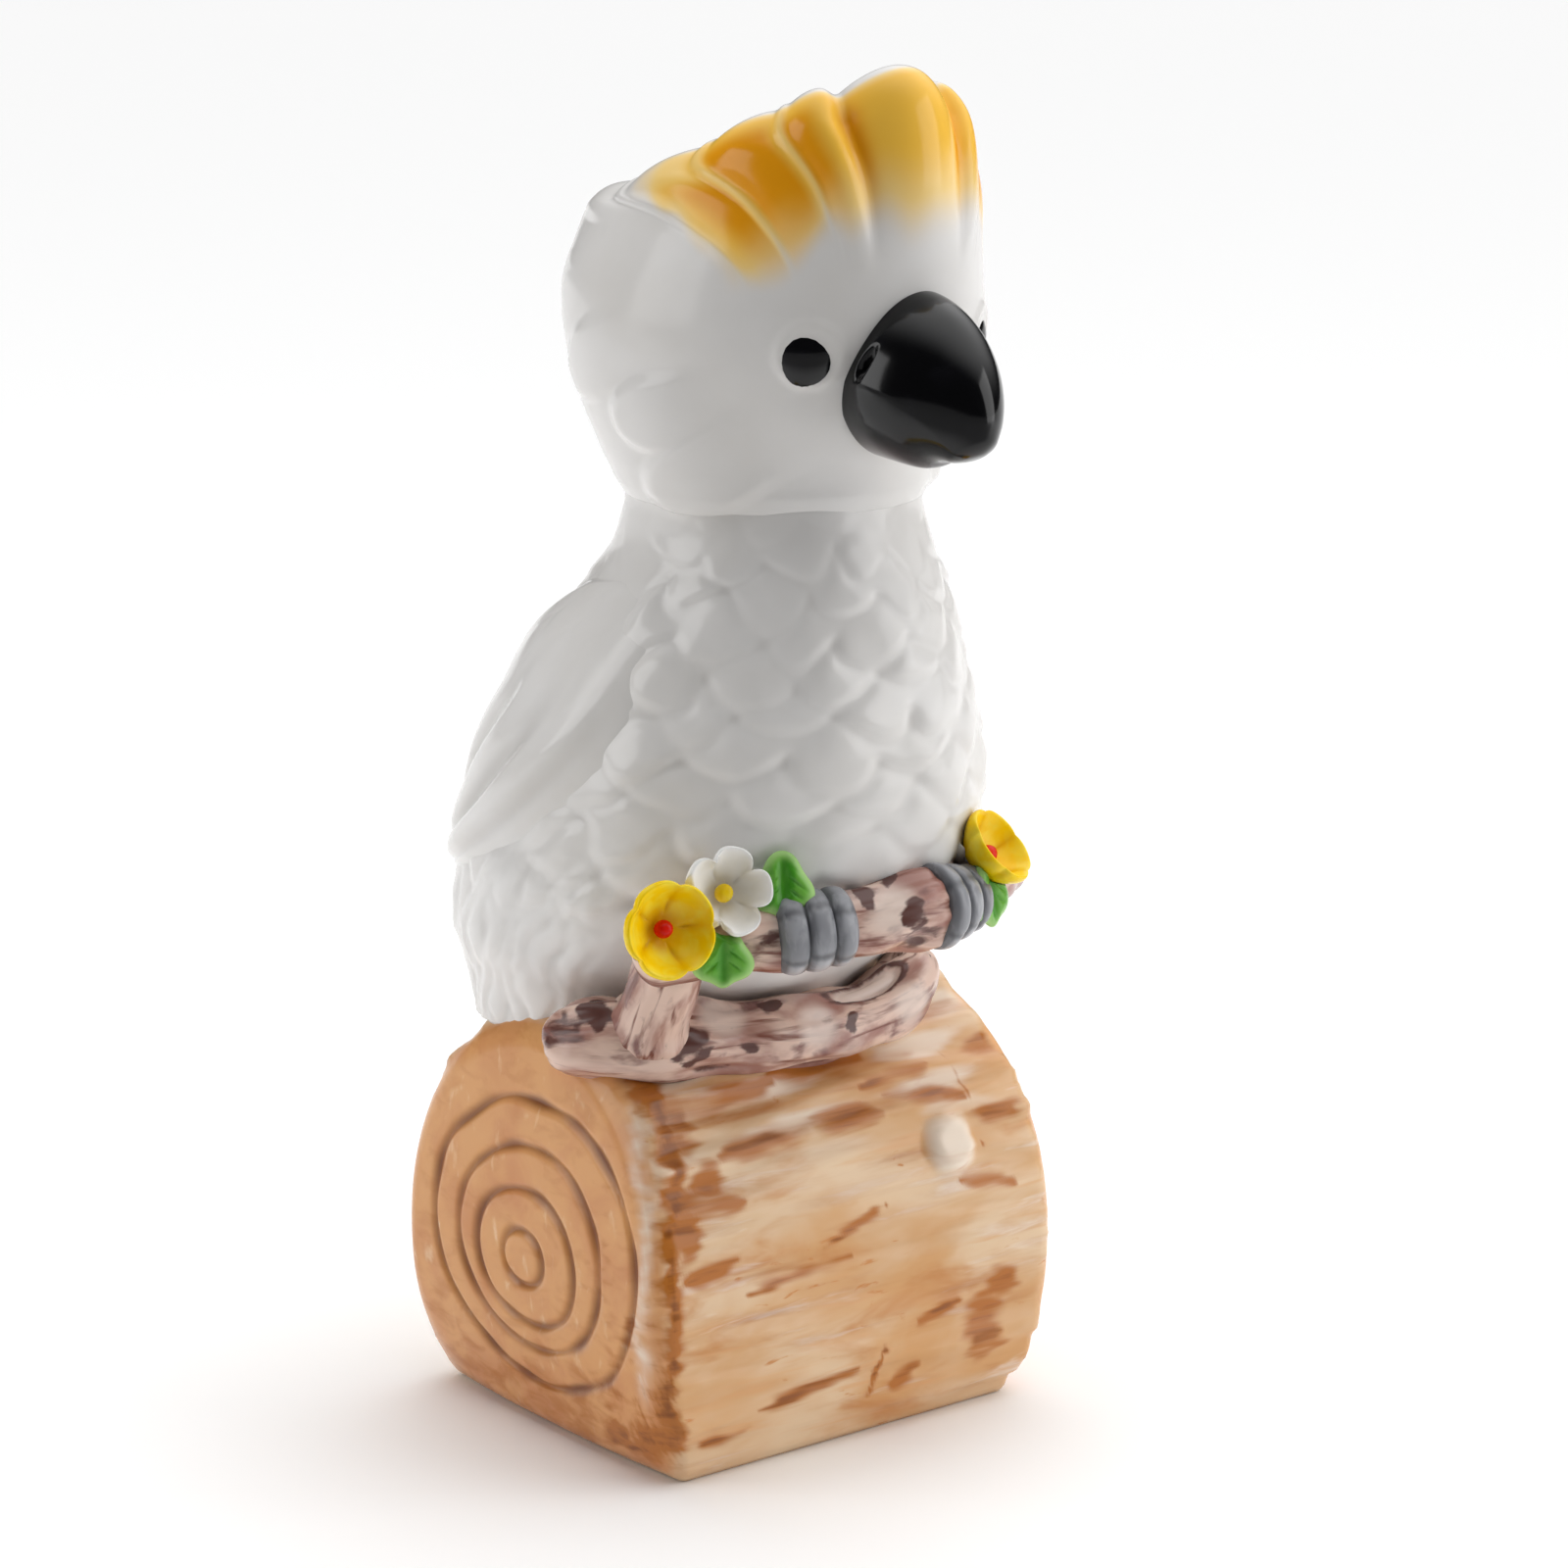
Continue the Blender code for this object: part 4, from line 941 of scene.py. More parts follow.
    def washes(self, points: Field, sawn: Field, bark: Field) -> Paint:
        """Where brown wash, bare cream, painted shade and a painted highlight lie on the log."""
        along, across, height = np.moveaxis(points, -1, 0)
        uneven = ripple(points, (0.012, 0.012, 0.010), RANDOM_SEED + 2)
        rough = ripple(points, (0.006, 0.004, 0.0025), RANDOM_SEED + 13)
        top = ripple(points, (0.030, 0.010, 0.006), RANDOM_SEED + 3, 14)
        front = soft_step(-0.012, -0.020, across)
        near_branch = soft_step(0.050, 0.060, height) * (1 - sawn)
        wash = self.brushwork(points, uneven, rough) * front
        wash = np.maximum(wash, 0.75 * soft_step(0.4, 1.1, top) * near_branch)
        # Painted shade: more brown wash in the hollows of the carved bark.
        painted_shade = soft_step(0.0, -0.0009, bark) * (1 - sawn)
        aside, above = np.abs(along - self.knot_along), np.abs(height - self.knot_height)
        knot = soft_step(1.0, 0.62, (aside**3 + above**3) ** (1 / 3) / self.knot_radius) * front
        low = 0.36 * sawn * soft_step(0.022, 0.004, height + 0.003 * uneven)
        wash = np.maximum(np.clip(wash + 0.25 * painted_shade, 0, 1) * (1 - 0.8 * knot), low)
        bare = 0.6 * soft_step(-0.2, -1.0, top) * soft_step(0.044, 0.054, height) * (1 - sawn)
        # A painted highlight down the front edge of the sawn end.
        stripe = self.painted_edge_highlight(points, uneven, rough)
        return {"wash": wash, "pale": np.maximum.reduce([0.75 * stripe, bare, 0.75 * knot])}

    def build(self) -> None:
        """Makes the log."""
        rows = len(self.rows()) - 1
        show(rolled_skin("log_casting", self.columns, rows, self.shape), BARK, ["log"])


# Torso, wings and tail


@dataclass
class Torso:
    """The body casting with rows of breast feathers and a skirt of long ones."""

    log: Log
    # Rings from the foot to the neck: height above the log, half width, reach forwards and reach back
    rings: SizeRows = (
        (-0.0060, 0.0330, 0.0130, 0.0400),
        (0.0020, 0.0345, 0.0170, 0.0420),
        (0.0110, 0.0380, 0.0280, 0.0450),
        (0.0200, 0.0380, 0.0365, 0.0435),
        (0.0290, 0.0370, 0.0400, 0.0400),
        (0.0380, 0.0355, 0.0412, 0.0368),
        (0.0470, 0.0330, 0.0408, 0.0315),
        (0.0560, 0.0297, 0.0397, 0.0272),
        (0.0650, 0.0255, 0.0385, 0.0198),
        (0.0710, 0.0228, 0.0372, 0.0150),
        (0.0770, 0.0218, 0.0352, 0.0122),
        (0.0800, 0.0217, 0.0346, 0.0118),
    )
    feathers_round: int = 15
    feather_pitch: float = 0.0058
    feather_relief: float = 0.0013
    skirt_round: int = 52
    skirt_rows: float = 3.0
    skirt_relief: float = 0.0007
    skirt_levels: float = 3.6
    plain_levels: float = 2.0
    breast_half_angle: float = 84.0
    breast_rows: FeatherRows = FeatherRows(0.72, 0.42, RANDOM_SEED)
    long_rows: FeatherRows = FeatherRows(0.8, 0.4, RANDOM_SEED + 5)
    uneven: float = 0.00025
    front_share: float = 0.72
    front_angle: float = 118.0
    first_level: float = 0.2
    past_neck: float = 0.15
    columns: int = 340
    rows: int = 230

    @property
    def last(self) -> int:
        """The level of the neck."""
        return len(self.rings) - 1

    @property
    def neck_height(self) -> float:
        """The height of the neck joint."""
        return self.log.height + self.rings[-1][0]

    def point(self, angle: Field, level: Field) -> Field:
        """A point of the plain skin at an angle round from the breast and a level up from the foot."""
        ring = course(self.rings, np.asarray(level, float))
        return ring_point(ring[..., 1], ring[..., 2], ring[..., 3], angle, self.log.height + ring[..., 0])

    def lifted(self, angle: Field, level: Field, lift: Field) -> Field:
        """A point lifted off the plain skin along its outward direction."""
        across = self.point(angle + 1.0, level) - self.point(angle - 1.0, level)
        upward = self.point(angle, np.minimum(level + 0.05, self.last)) - self.point(angle, level - 0.05)
        return self.point(angle, level) + unit(np.cross(across, upward)) * np.asarray(lift)[..., None]

    def shape(self, turn: Field, step: Field) -> tuple[Field, Paint]:
        """The torso's points and paints."""
        aside = np.abs(2 * turn - 1)
        wide = np.interp(aside, (0.0, self.front_share, 1.0), (0.0, self.front_angle, 180.0))
        angle = np.sign(2 * turn - 1) * wide
        level = self.first_level + (self.last + self.past_neck - self.first_level) * step
        points = self.point(angle, level)
        relief, painted_shade = self.feathers(points, angle, level)
        swell = self.uneven * ripple(points, (0.02, 0.02, 0.02), RANDOM_SEED + 4)
        return raised(points, relief + swell), {"painted_shade": painted_shade}

    def feathers(self, points: Field, angle: Field, level: Field) -> tuple[Field, Field]:
        """The moulded feathers.

        Args:
            points: the plain skin.
            angle: degrees round from the breast.
            level: the level up from the foot.

        Returns:
            How far the skin stands out, in metres, and how much painted shade lies there.
        """
        sway = ripple(points, (0.014, 0.014, 0.012), RANDOM_SEED + 9)
        slip = ripple(points, (0.012, 0.012, 0.012), RANDOM_SEED + 10)
        down = (self.neck_height - points[..., 2]) / self.feather_pitch + 0.20 * slip + 1.0
        across = angle * self.feathers_round / 360.0 + 0.25 + 0.09 * sway
        breast = softened(self.breast_rows.height(across, down), 4, 4)
        turned = np.abs(angle)
        on_breast = soft_step(self.breast_half_angle + 14, self.breast_half_angle - 6, turned)
        on_back = 0.45 * soft_step(100.0, 125.0, turned)
        above_skirt = soft_step(self.plain_levels, self.plain_levels + 1.2, level)
        share = (on_breast + on_back) * above_skirt * soft_step(0.5, 5.0, down)
        share = share * np.clip(0.95 + 0.25 * sway, 0.5, 1.2)
        long_down = (self.skirt_levels - level) / self.skirt_levels * self.skirt_rows
        strand = angle * self.skirt_round / 360.0 + 0.30 * sway + 0.25 * slip
        skirt = softened(self.long_rows.height(strand, long_down), 2, 3)
        on_flank = soft_step(52.0, 66.0, turned) * soft_step(4.2, 3.0, level)
        relief = self.feather_relief * breast * share + self.skirt_relief * skirt * on_flank
        # Painted shade in the creases under the breast feathers and between the long flank feathers.
        painted_shade = soft_step(0.58, 0.25, breast) * share * 0.5 + soft_step(0.75, 0.3, skirt) * on_flank * 0.4
        return relief, np.clip(painted_shade, 0.0, 1.0)

    def build(self) -> None:
        """Makes the torso."""
        mesh = rolled_skin("feathered_torso", self.columns, self.rows, self.shape)
        show(mesh, WHITE, ["torso"])


@dataclass
class Wing:
    """One folded wing on the flank, with soft grooves between its long feathers."""

    torso: Torso
    side: Side
    # Angle and torso level of the leading edge, then of the trailing edge, from the shoulder to the tip
    edges: SizeRows = (
        (96.0, 8.35, 100.0, 8.35),
        (68.0, 7.90, 128.0, 8.00),
        (61.0, 6.90, 148.0, 7.20),
        (66.0, 5.70, 158.0, 6.10),
        (82.0, 4.40, 164.0, 4.90),
        (106.0, 3.20, 167.0, 3.70),
        (136.0, 2.40, 168.0, 2.80),
        (157.0, 1.95, 166.0, 2.10),
    )
    thickness: float = 0.0038
    buried: float = 0.0030
    thinnest: float = 0.0001
    groove_depth: float = 0.0014
    long_feathers: int = 5
    coverts: FeatherRows = FeatherRows(0.6, 0.4, RANDOM_SEED + 6)
    coverts_across: float = 5.0
    covert_rows: float = 9.0
    covert_relief: float = 0.0002
    outside_share: float = 0.8
    columns: int = 150
    rows: int = 150

    def shape(self, turn: Field, step: Field) -> tuple[Field, Paint]:
        """The wing's points and paints."""
        way = denser_ends(step, 0.6)
        edge = course(self.edges, way * (len(self.edges) - 1))
        outside = turn <= self.outside_share
        across = np.where(outside, turn / self.outside_share, (1 - turn) / (1 - self.outside_share))
        across = denser_ends(np.clip(across, 0.0, 1.0), 0.5)
        angle = edge[..., 0] + (edge[..., 2] - edge[..., 0]) * across
        level = edge[..., 1] + (edge[..., 3] - edge[..., 1]) * across
        swell = soft_step(0.0, 0.22, across) * soft_step(1.0, 0.80, across)
        swell = swell * soft_step(0.0, 0.50, way) * soft_step(1.0, 0.66, way)
        feather = across * self.long_feathers + 0.35 * np.sin(3.0 * way)
        groove = bell(feather - np.rint(feather), 0.19)
        groove = groove * soft_step(0.26, 0.60, way) * soft_step(0.0, 0.2, across)
        covert = self.coverts.height(across * self.coverts_across, way * self.covert_rows)
        relief = self.covert_relief * covert * soft_step(0.55, 0.2, way) - self.groove_depth * groove
        lift = swell * np.where(outside, self.thickness + relief, -self.buried)
        lift += np.where(outside, 1, -1) * self.thinnest / 2 * np.sin(math.pi * across)
        points = self.torso.lifted(self.side.value * angle, level, lift)
        # Painted shade in the grooves between the long feathers.
        return points, {"painted_shade": 0.45 * groove * swell}

    def build(self) -> None:
        """Makes the wing."""
        node = f"{self.side.label}_wing"
        mesh = rolled_skin(node + "_folded", self.columns, self.rows, self.shape)
        show(mesh, WHITE, [node])


@dataclass
class Tail:
    """The short tail that stands on the log's back."""

    torso: Torso
    # Half angle and torso level, from the rump to the tip
    spans: tuple[tuple[float, float], ...] = (
        (10.0, 3.40),
        (20.0, 2.70),
        (22.0, 2.00),
        (21.0, 1.40),
        (16.0, 1.00),
    )
    thickness: float = 0.0050
    buried: float = 0.0030
    edge_power: float = 0.45
    feathers: int = 5
    groove_depth: float = 0.0008
    outside_share: float = 0.7
    columns: int = 120
    rows: int = 90

    def shape(self, turn: Field, step: Field) -> tuple[Field, Paint]:
        """The tail's points and paints."""
        way = denser_ends(step, 0.6)
        row = course(self.spans, way * (len(self.spans) - 1))
        outside = turn <= self.outside_share
        across = np.interp(turn, (0.0, self.outside_share, 1.0), (-1.0, 1.0, -1.0))
        swell = ((1 - across**4) * (1 - (2 * way - 1) ** 6)) ** self.edge_power
        feather = (across + 1) / 2 * self.feathers
        groove = bell(feather - np.rint(feather), 0.14) * soft_step(0.05, 0.35, way)
        lift = swell * np.where(outside, self.thickness - self.groove_depth * groove, -self.buried)
        points = self.torso.lifted(180.0 + row[..., 0] * across, row[..., 1], lift)
        # Painted shade in the grooves between the tail feathers.
        return points, {"painted_shade": 0.45 * groove * swell}

    def build(self) -> None:
        """Makes the tail."""
        mesh = rolled_skin("tail_feathers", self.columns, self.rows, self.shape)
        show(mesh, WHITE, ["tail"])


# Head


@dataclass(frozen=True)
class Lobe:
    """A round-tipped tuft on the cheek: its place, the way it points and its size."""

    angle: float
    level: float
    heading: float
    length: float
    width: float
    relief: float


@dataclass
class Head:
    """The head with its fluted crest, which fans out from the brow to a scalloped rim."""

    torso: Torso
    # Rings from the neck to the crown: height in front and behind, half width, reach forwards and reach
    # back, depth of the flutes, and how far their angles are those at the rim, not those at the brow
    rings: SizeRows = (
        (0.0000, 0.0000, 0.0225, 0.0350, 0.0120, 0.0, 1.0),
        (0.0065, 0.0065, 0.0255, 0.0365, 0.0145, 0.0, 1.0),
        (0.0155, 0.0155, 0.0280, 0.0420, 0.0200, 0.0, 0.7),
        (0.0250, 0.0250, 0.0290, 0.0460, 0.0235, 0.0, 0.2),
        (0.0345, 0.0320, 0.0280, 0.0465, 0.0240, 0.0006, 0.0),
        (0.0490, 0.0375, 0.0255, 0.0480, 0.0235, 0.0022, 0.5),
        (0.0605, 0.0412, 0.0235, 0.0458, 0.0220, 0.0028, 1.0),
        (0.0645, 0.0435, 0.0185, 0.0402, 0.0170, 0.0024, 1.0),
        (0.0600, 0.0410, 0.0100, 0.0310, 0.0060, 0.0010, 1.0),
    )
    slope_power: float = 1.62
    grooves_at_rim: tuple[float, ...] = (27.0, 47.0, 73.0, 106.0, 146.0, 180.0)
    grooves_at_brow: tuple[float, ...] = (16.0, 25.0, 38.0, 52.0, 84.0, 180.0)
    groove_shares: tuple[float, ...] = (1.0, 0.45, 0.45, 0.50, 0.18, 0.20)
    ridge_shares: tuple[float, ...] = (0.18, 0.62, 0.62, 0.60, 0.3, 0.3)
    ridge_width: float = 1.15
    scallop: float = 0.0030
    eye_radius: float = 0.0069
    eye_angle: float = 33.0
    eye_level: float = 2.92
    eye_stands_out: float = 0.0008
    eye_half_width: float = 0.0038
    lid_width: float = 0.0010
    lid_relief: float = 0.0004
    tufts: tuple[Lobe, ...] = (
        Lobe(74.0, 1.85, 18.0, 0.0125, 0.0066, 0.0014),
        Lobe(60.0, 0.92, 30.0, 0.0140, 0.0078, 0.0015),
        Lobe(102.0, 2.55, 20.0, 0.0130, 0.0065, 0.0009),
    )
    nape_rows: FeatherRows = FeatherRows(0.55, 0.3, RANDOM_SEED + 7)
    nape_relief: float = 0.0004
    # Rim angles in degrees, and the levels where the spray starts and is full there
    spray_angles: tuple[float, ...] = (0.0, 20.0, 27.0, 45.0, 65.0, 95.0)
    spray_starts: tuple[float, ...] = (4.30, 4.34, 4.42, 4.40, 4.15, 3.82)
    spray_fulls: tuple[float, ...] = (5.50, 5.52, 5.50, 5.28, 5.06, 4.70)
    sunk: float = 0.0009
    neck_tuck: float = 0.0005
    columns: int = 420
    rows: int = 230

    def grooves(self, rim: Field) -> tuple[Field, Field]:
        """The fluting at a rim angle.

        Args:
            rim: degrees round the crest's rim from the beak.

        Returns:
            How deep the flute is there, as a share of its level's depth, and how near the raised line in a
            groove is, from 0 to 1.
        """
        turned = np.abs(rim)
        edges = np.array([-self.grooves_at_rim[0], *self.grooves_at_rim])
        index = np.clip(np.searchsorted(edges, turned, side="right") - 1, 0, len(edges) - 2)
        aside = 2 * (turned - edges[index]) / (edges[index + 1] - edges[index]) - 1
        depths = np.array([self.groove_shares[0], *self.groove_shares])
        sunk = aside**2 * np.where(aside > 0, depths[index + 1], depths[index])
        line = np.zeros(rim.shape)
        for groove, depth, ridge in zip(self.grooves_at_rim, self.groove_shares, self.ridge_shares):
            near = bell(turned - groove, self.ridge_width * (1.1 + (groove / 90.0) ** 2))
            sunk = sunk - depth * ridge * near
            line = np.maximum(line, near * (ridge > 0.5))
        return sunk, line

    def skin(self, turned: Field, level: Field, sunk: Field | float = 0.0, lift: float = 0.0) -> Field:
        """A point of the head.

        Args:
            turned: degrees round from the beak.
            level: the level up from the neck.
            sunk: how deep the point lies in a crest groove, as a share of its level's flute.
            lift: how far it is lifted off the skin.

        Returns:
            The points.
        """
        ring = course(self.rings, np.asarray(level, float))
        inwards = ring[..., 5] * sunk - lift
        forward = ((1 + np.cos(np.radians(turned))) / 2) ** self.slope_power
        height = ring[..., 1] + (ring[..., 0] - ring[..., 1]) * forward
        height = height - self.scallop * np.maximum(sunk, 0.0) * np.clip(level - 5.0, 0.0, 1.0)
        sizes = (ring[..., part] - inwards for part in (2, 3, 4))
        return ring_point(*sizes, turned, self.torso.neck_height + height)

    def shape(self, turn: Field, step: Field) -> tuple[Field, Paint]:
        """The head's points and paints."""
        gather = [sign * angle for angle in self.grooves_at_rim[:4] for sign in (-1, 1)]
        rim = denser_near(turn, -180.0, 180.0, gather, 5.0, 2.5)
        level = (len(self.rings) - 1) * step
        fan = course(self.rings, level)[..., 6]
        low = np.array([0.0, *self.grooves_at_rim])
        gathered = np.sign(rim) * np.interp(np.abs(rim), low, [0.0, *self.grooves_at_brow])
        turned = fan * rim + (1 - fan) * gathered
        sunk, line = self.grooves(rim)
        sunk = softened(sunk, 5, 2) * soft_step(3.9, 5.0, level)
        points = self.skin(turned, level, sunk)
        lip = soft_step(0.55, 0.0, level)
        points[..., 2] -= self.sunk * lip
        lift = self.plumage(points, turned, level) + self.lids(points)
        lift = lift - self.neck_tuck * soft_step(0.4, 0.0, level)
        return raised(points, lift), self.spray(points, rim, level, line)

    def tuft_lift(self, points: Field, side: Side, tuft: Lobe) -> Field:
        """How far one tuft lifts the skin."""
        angle, level = np.array(side.value * tuft.angle), np.array(tuft.level)
        centre = self.skin(angle, level)
        back = unit(self.skin(angle + side.value, level) - centre)
        down = unit(centre - self.skin(angle, level + 0.05))
        heading = math.radians(tuft.heading)
        along = math.cos(heading) * back + math.sin(heading) * down
        across = math.sin(heading) * back - math.cos(heading) * down
        offset = points - centre
        run = (offset @ along) / tuft.length
        aside = (offset @ across) / tuft.width
        near = soft_step(tuft.length * 2.5, tuft.length * 1.5, np.linalg.norm(offset, axis=-1))
        tip = soft_step(1.03, 0.64, np.sqrt(np.maximum(run, 0.0) ** 2 + aside**2))
        return tuft.relief * tip * soft_step(-0.95, 0.3, run) * near

    def plumage(self, points: Field, turned: Field, level: Field) -> Field:
        """The tufts on the cheeks and the soft feathers down the nape."""
        tufts = [self.tuft_lift(points, side, tuft) for side in Side for tuft in self.tufts]
        nape = softened(self.nape_rows.height(turned / 26.0, (5.0 - level) * 1.5), 4, 4)
        on_nape = soft_step(105.0, 135.0, np.abs(turned))
        on_nape = on_nape * soft_step(4.6, 3.9, level) * soft_step(0.1, 0.6, level)
        return np.maximum.reduce(tufts) + self.nape_relief * nape * on_nape

    def eye_place(self, side: Side) -> Field:
        """The middle of an eye bead."""
        angle = np.array(side.value * self.eye_angle)
        return self.skin(angle, np.array(self.eye_level), lift=self.eye_stands_out - self.eye_radius)

    def lids(self, points: Field) -> Field:
        """The raised ring of the lid round each eye."""
        lift = np.zeros(points.shape[:-1])
        for side in Side:
            middle = self.skin(np.array(side.value * self.eye_angle), np.array(self.eye_level))
            away = np.linalg.norm(points - middle, axis=-1)
            lift += self.lid_relief * bell(away - self.eye_half_width - 0.0006, self.lid_width)
        return lift

    def spray(self, points: Field, rim: Field, level: Field, line: Field) -> Paint:
        """The amber sprayed on the crest, which ran together in the flutes and off the raised lines, and
        painted shade down its front groove.
        """
        turned = np.abs(rim)
        uneven = 0.05 * ripple(points, (0.008, 0.008, 0.02), RANDOM_SEED + 8)
        start = np.interp(turned, self.spray_angles, self.spray_starts)
        full = np.interp(turned, self.spray_angles, self.spray_fulls)
        sprayed = soft_step(0.0, 1.0, (level + uneven - start) / (full - start))
        rear = 96.0 + 8.0 * (5.2 - level) + 20.0 * uneven
        sprayed = sprayed * soft_step(12.0, -8.0, turned - rear) * soft_step(6.85, 6.45, level)
        faint = 1 - 0.45 * soft_step(73.0, 80.0, turned) * soft_step(5.3, 6.0, level)
        blush = sprayed * faint * (1 - 0.40 * line)
        strip = bell(turned - 25.0, 3.6)
        second = soft_step(34.0, 41.0, turned) * soft_step(48.0, 45.5, turned)
        third = soft_step(48.0, 53.0, turned) * soft_step(73.0, 68.0, turned)
        last = soft_step(74.0, 77.0, turned) * soft_step(98.0, 82.0, turned) * soft_step(5.75, 5.25, level)
        pool = np.maximum.reduce([strip, second, third, last]) * sprayed**1.6 * soft_step(6.5, 6.0, level)
        # Painted shade down the crest's deep front groove.
        shaded = 0.25 * bell(turned - self.grooves_at_rim[0], 3.0) * soft_step(4.2, 5.0, level)
        return {"blush": blush, "pool": 0.9 * pool * (1 - line), "painted_shade": shaded}

    def build(self) -> None:
        """Makes the head and its eyes."""
        mesh = rolled_skin("crested_head", self.columns, self.rows, self.shape)
        show(mesh, CREST, ["head"])
        for side in Side:
            node = f"{side.label}_eye"
            bead = Bead(self.eye_radius, Matrix.Translation(self.eye_place(side)), 40)
            show(bead.mesh(node + "_bead"), BLACK, [node])


@dataclass
class Bead:
    """A small pressed ball, a little flat where the tool touched it."""

    radius: float
    place: Matrix
    columns: int = 28
    flat_at: float = 0.93
    out_of_round: float = 0.02

    def shape(self, turn: Field, step: Field) -> tuple[Field, Paint]:
        """The bead's points and paints."""
        around, lean = 2 * math.pi * turn, math.pi * (step - 0.5)
        level, rise = np.cos(lean), np.minimum(np.sin(lean), self.flat_at)
        radius = self.radius * (1 + self.out_of_round * np.sin(2 * around + 1.0) * level)
        local = np.stack([level * np.cos(around), level * np.sin(around), rise], axis=-1)
        # The side of the bead that faces its seat gets painted shade.
        return placed(local * radius[..., None], self.place), {"painted_shade": 0.4 * (step < 0.4)}

    def mesh(self, name: str) -> bpy.types.Mesh:
        """The bead's mesh."""
        return rolled_skin(name, self.columns, self.columns // 2, self.shape)


@dataclass
class Beak:
    """The hooked beak below the brow, with a nostril on each side and a brushed lower edge."""

    head: Head
    # Rings from the base to the tip: reach and height from the brow, half width, half height and lean
    rings: SizeRows = (
        (-0.0070, -0.0142, 0.0105, 0.0122, 0.0),
        (-0.0010, -0.0142, 0.0112, 0.0126, 2.0),
        (0.0038, -0.0155, 0.0102, 0.0116, 9.0),
        (0.0076, -0.0180, 0.0082, 0.0092, 24.0),
        (0.0102, -0.0212, 0.0056, 0.0062, 46.0),
        (0.0116, -0.0245, 0.0026, 0.0030, 66.0),
    )
    ridge: float = 0.16
    brow_level: float = 4.0
    nostril_reach: float = -0.0006
    nostril_rise: float = 0.0030
    nostril_aside: float = 0.0040
    nostril_radius: float = 0.0015
    nostril_depth: float = 0.0016
    thin_from: float = 0.0215
    thin_to: float = 0.0255
    columns: int = 120
    rows: int = 110

    def shape(self, turn: Field, step: Field) -> tuple[Field, Paint]:
        """The beak's points and paints."""
        brow = self.head.skin(np.array(0.0), np.array(self.brow_level))
        way = step**0.9
        ring = course(self.rings, way * (len(self.rings) - 1))
        reach, height, half_width, half_height, lean = np.moveaxis(ring, -1, 0)
        around, tilt = 2 * math.pi * turn, np.radians(lean)
        blunt = np.sqrt(np.clip(1 - ((way - 0.93) / 0.07).clip(0.0) ** 2, 0.0, 1.0))
        up = half_height * np.cos(around) * blunt
        aside = half_width * np.sin(around) * (1 - self.ridge * np.maximum(np.cos(around), 0.0)) * blunt
        forward, upward = brow[1] - reach - up * np.sin(tilt), brow[2] + height + up * np.cos(tilt)
        points = np.stack([aside, forward, upward], axis=-1)
        back = forward - brow[1] + self.nostril_reach
        rise = upward - brow[2] - self.rings[0][1] - self.nostril_rise
        slit = np.hypot((back + 0.45 * rise) / 0.75, rise / 1.7)
        cut = soft_step(self.nostril_radius, 0.3 * self.nostril_radius, slit)
        cut = cut * (np.abs(aside) > self.nostril_aside)
        low = soft_step(brow[2] - self.thin_from, brow[2] - self.thin_to, upward)
        thin = low * soft_step(0.007, 0.0, brow[1] - forward)
        # The beak's rows run forwards, so its grid's normals point inwards and a raised point is sunk
        return raised(points, self.nostril_depth * cut), {"thin": 0.8 * thin}

    def build(self) -> None:
        """Makes the beak."""
        mesh = rolled_skin("hooked_beak", self.columns, self.rows, self.shape)
        show(mesh, BLACK, ["beak"])


# Branches and feet


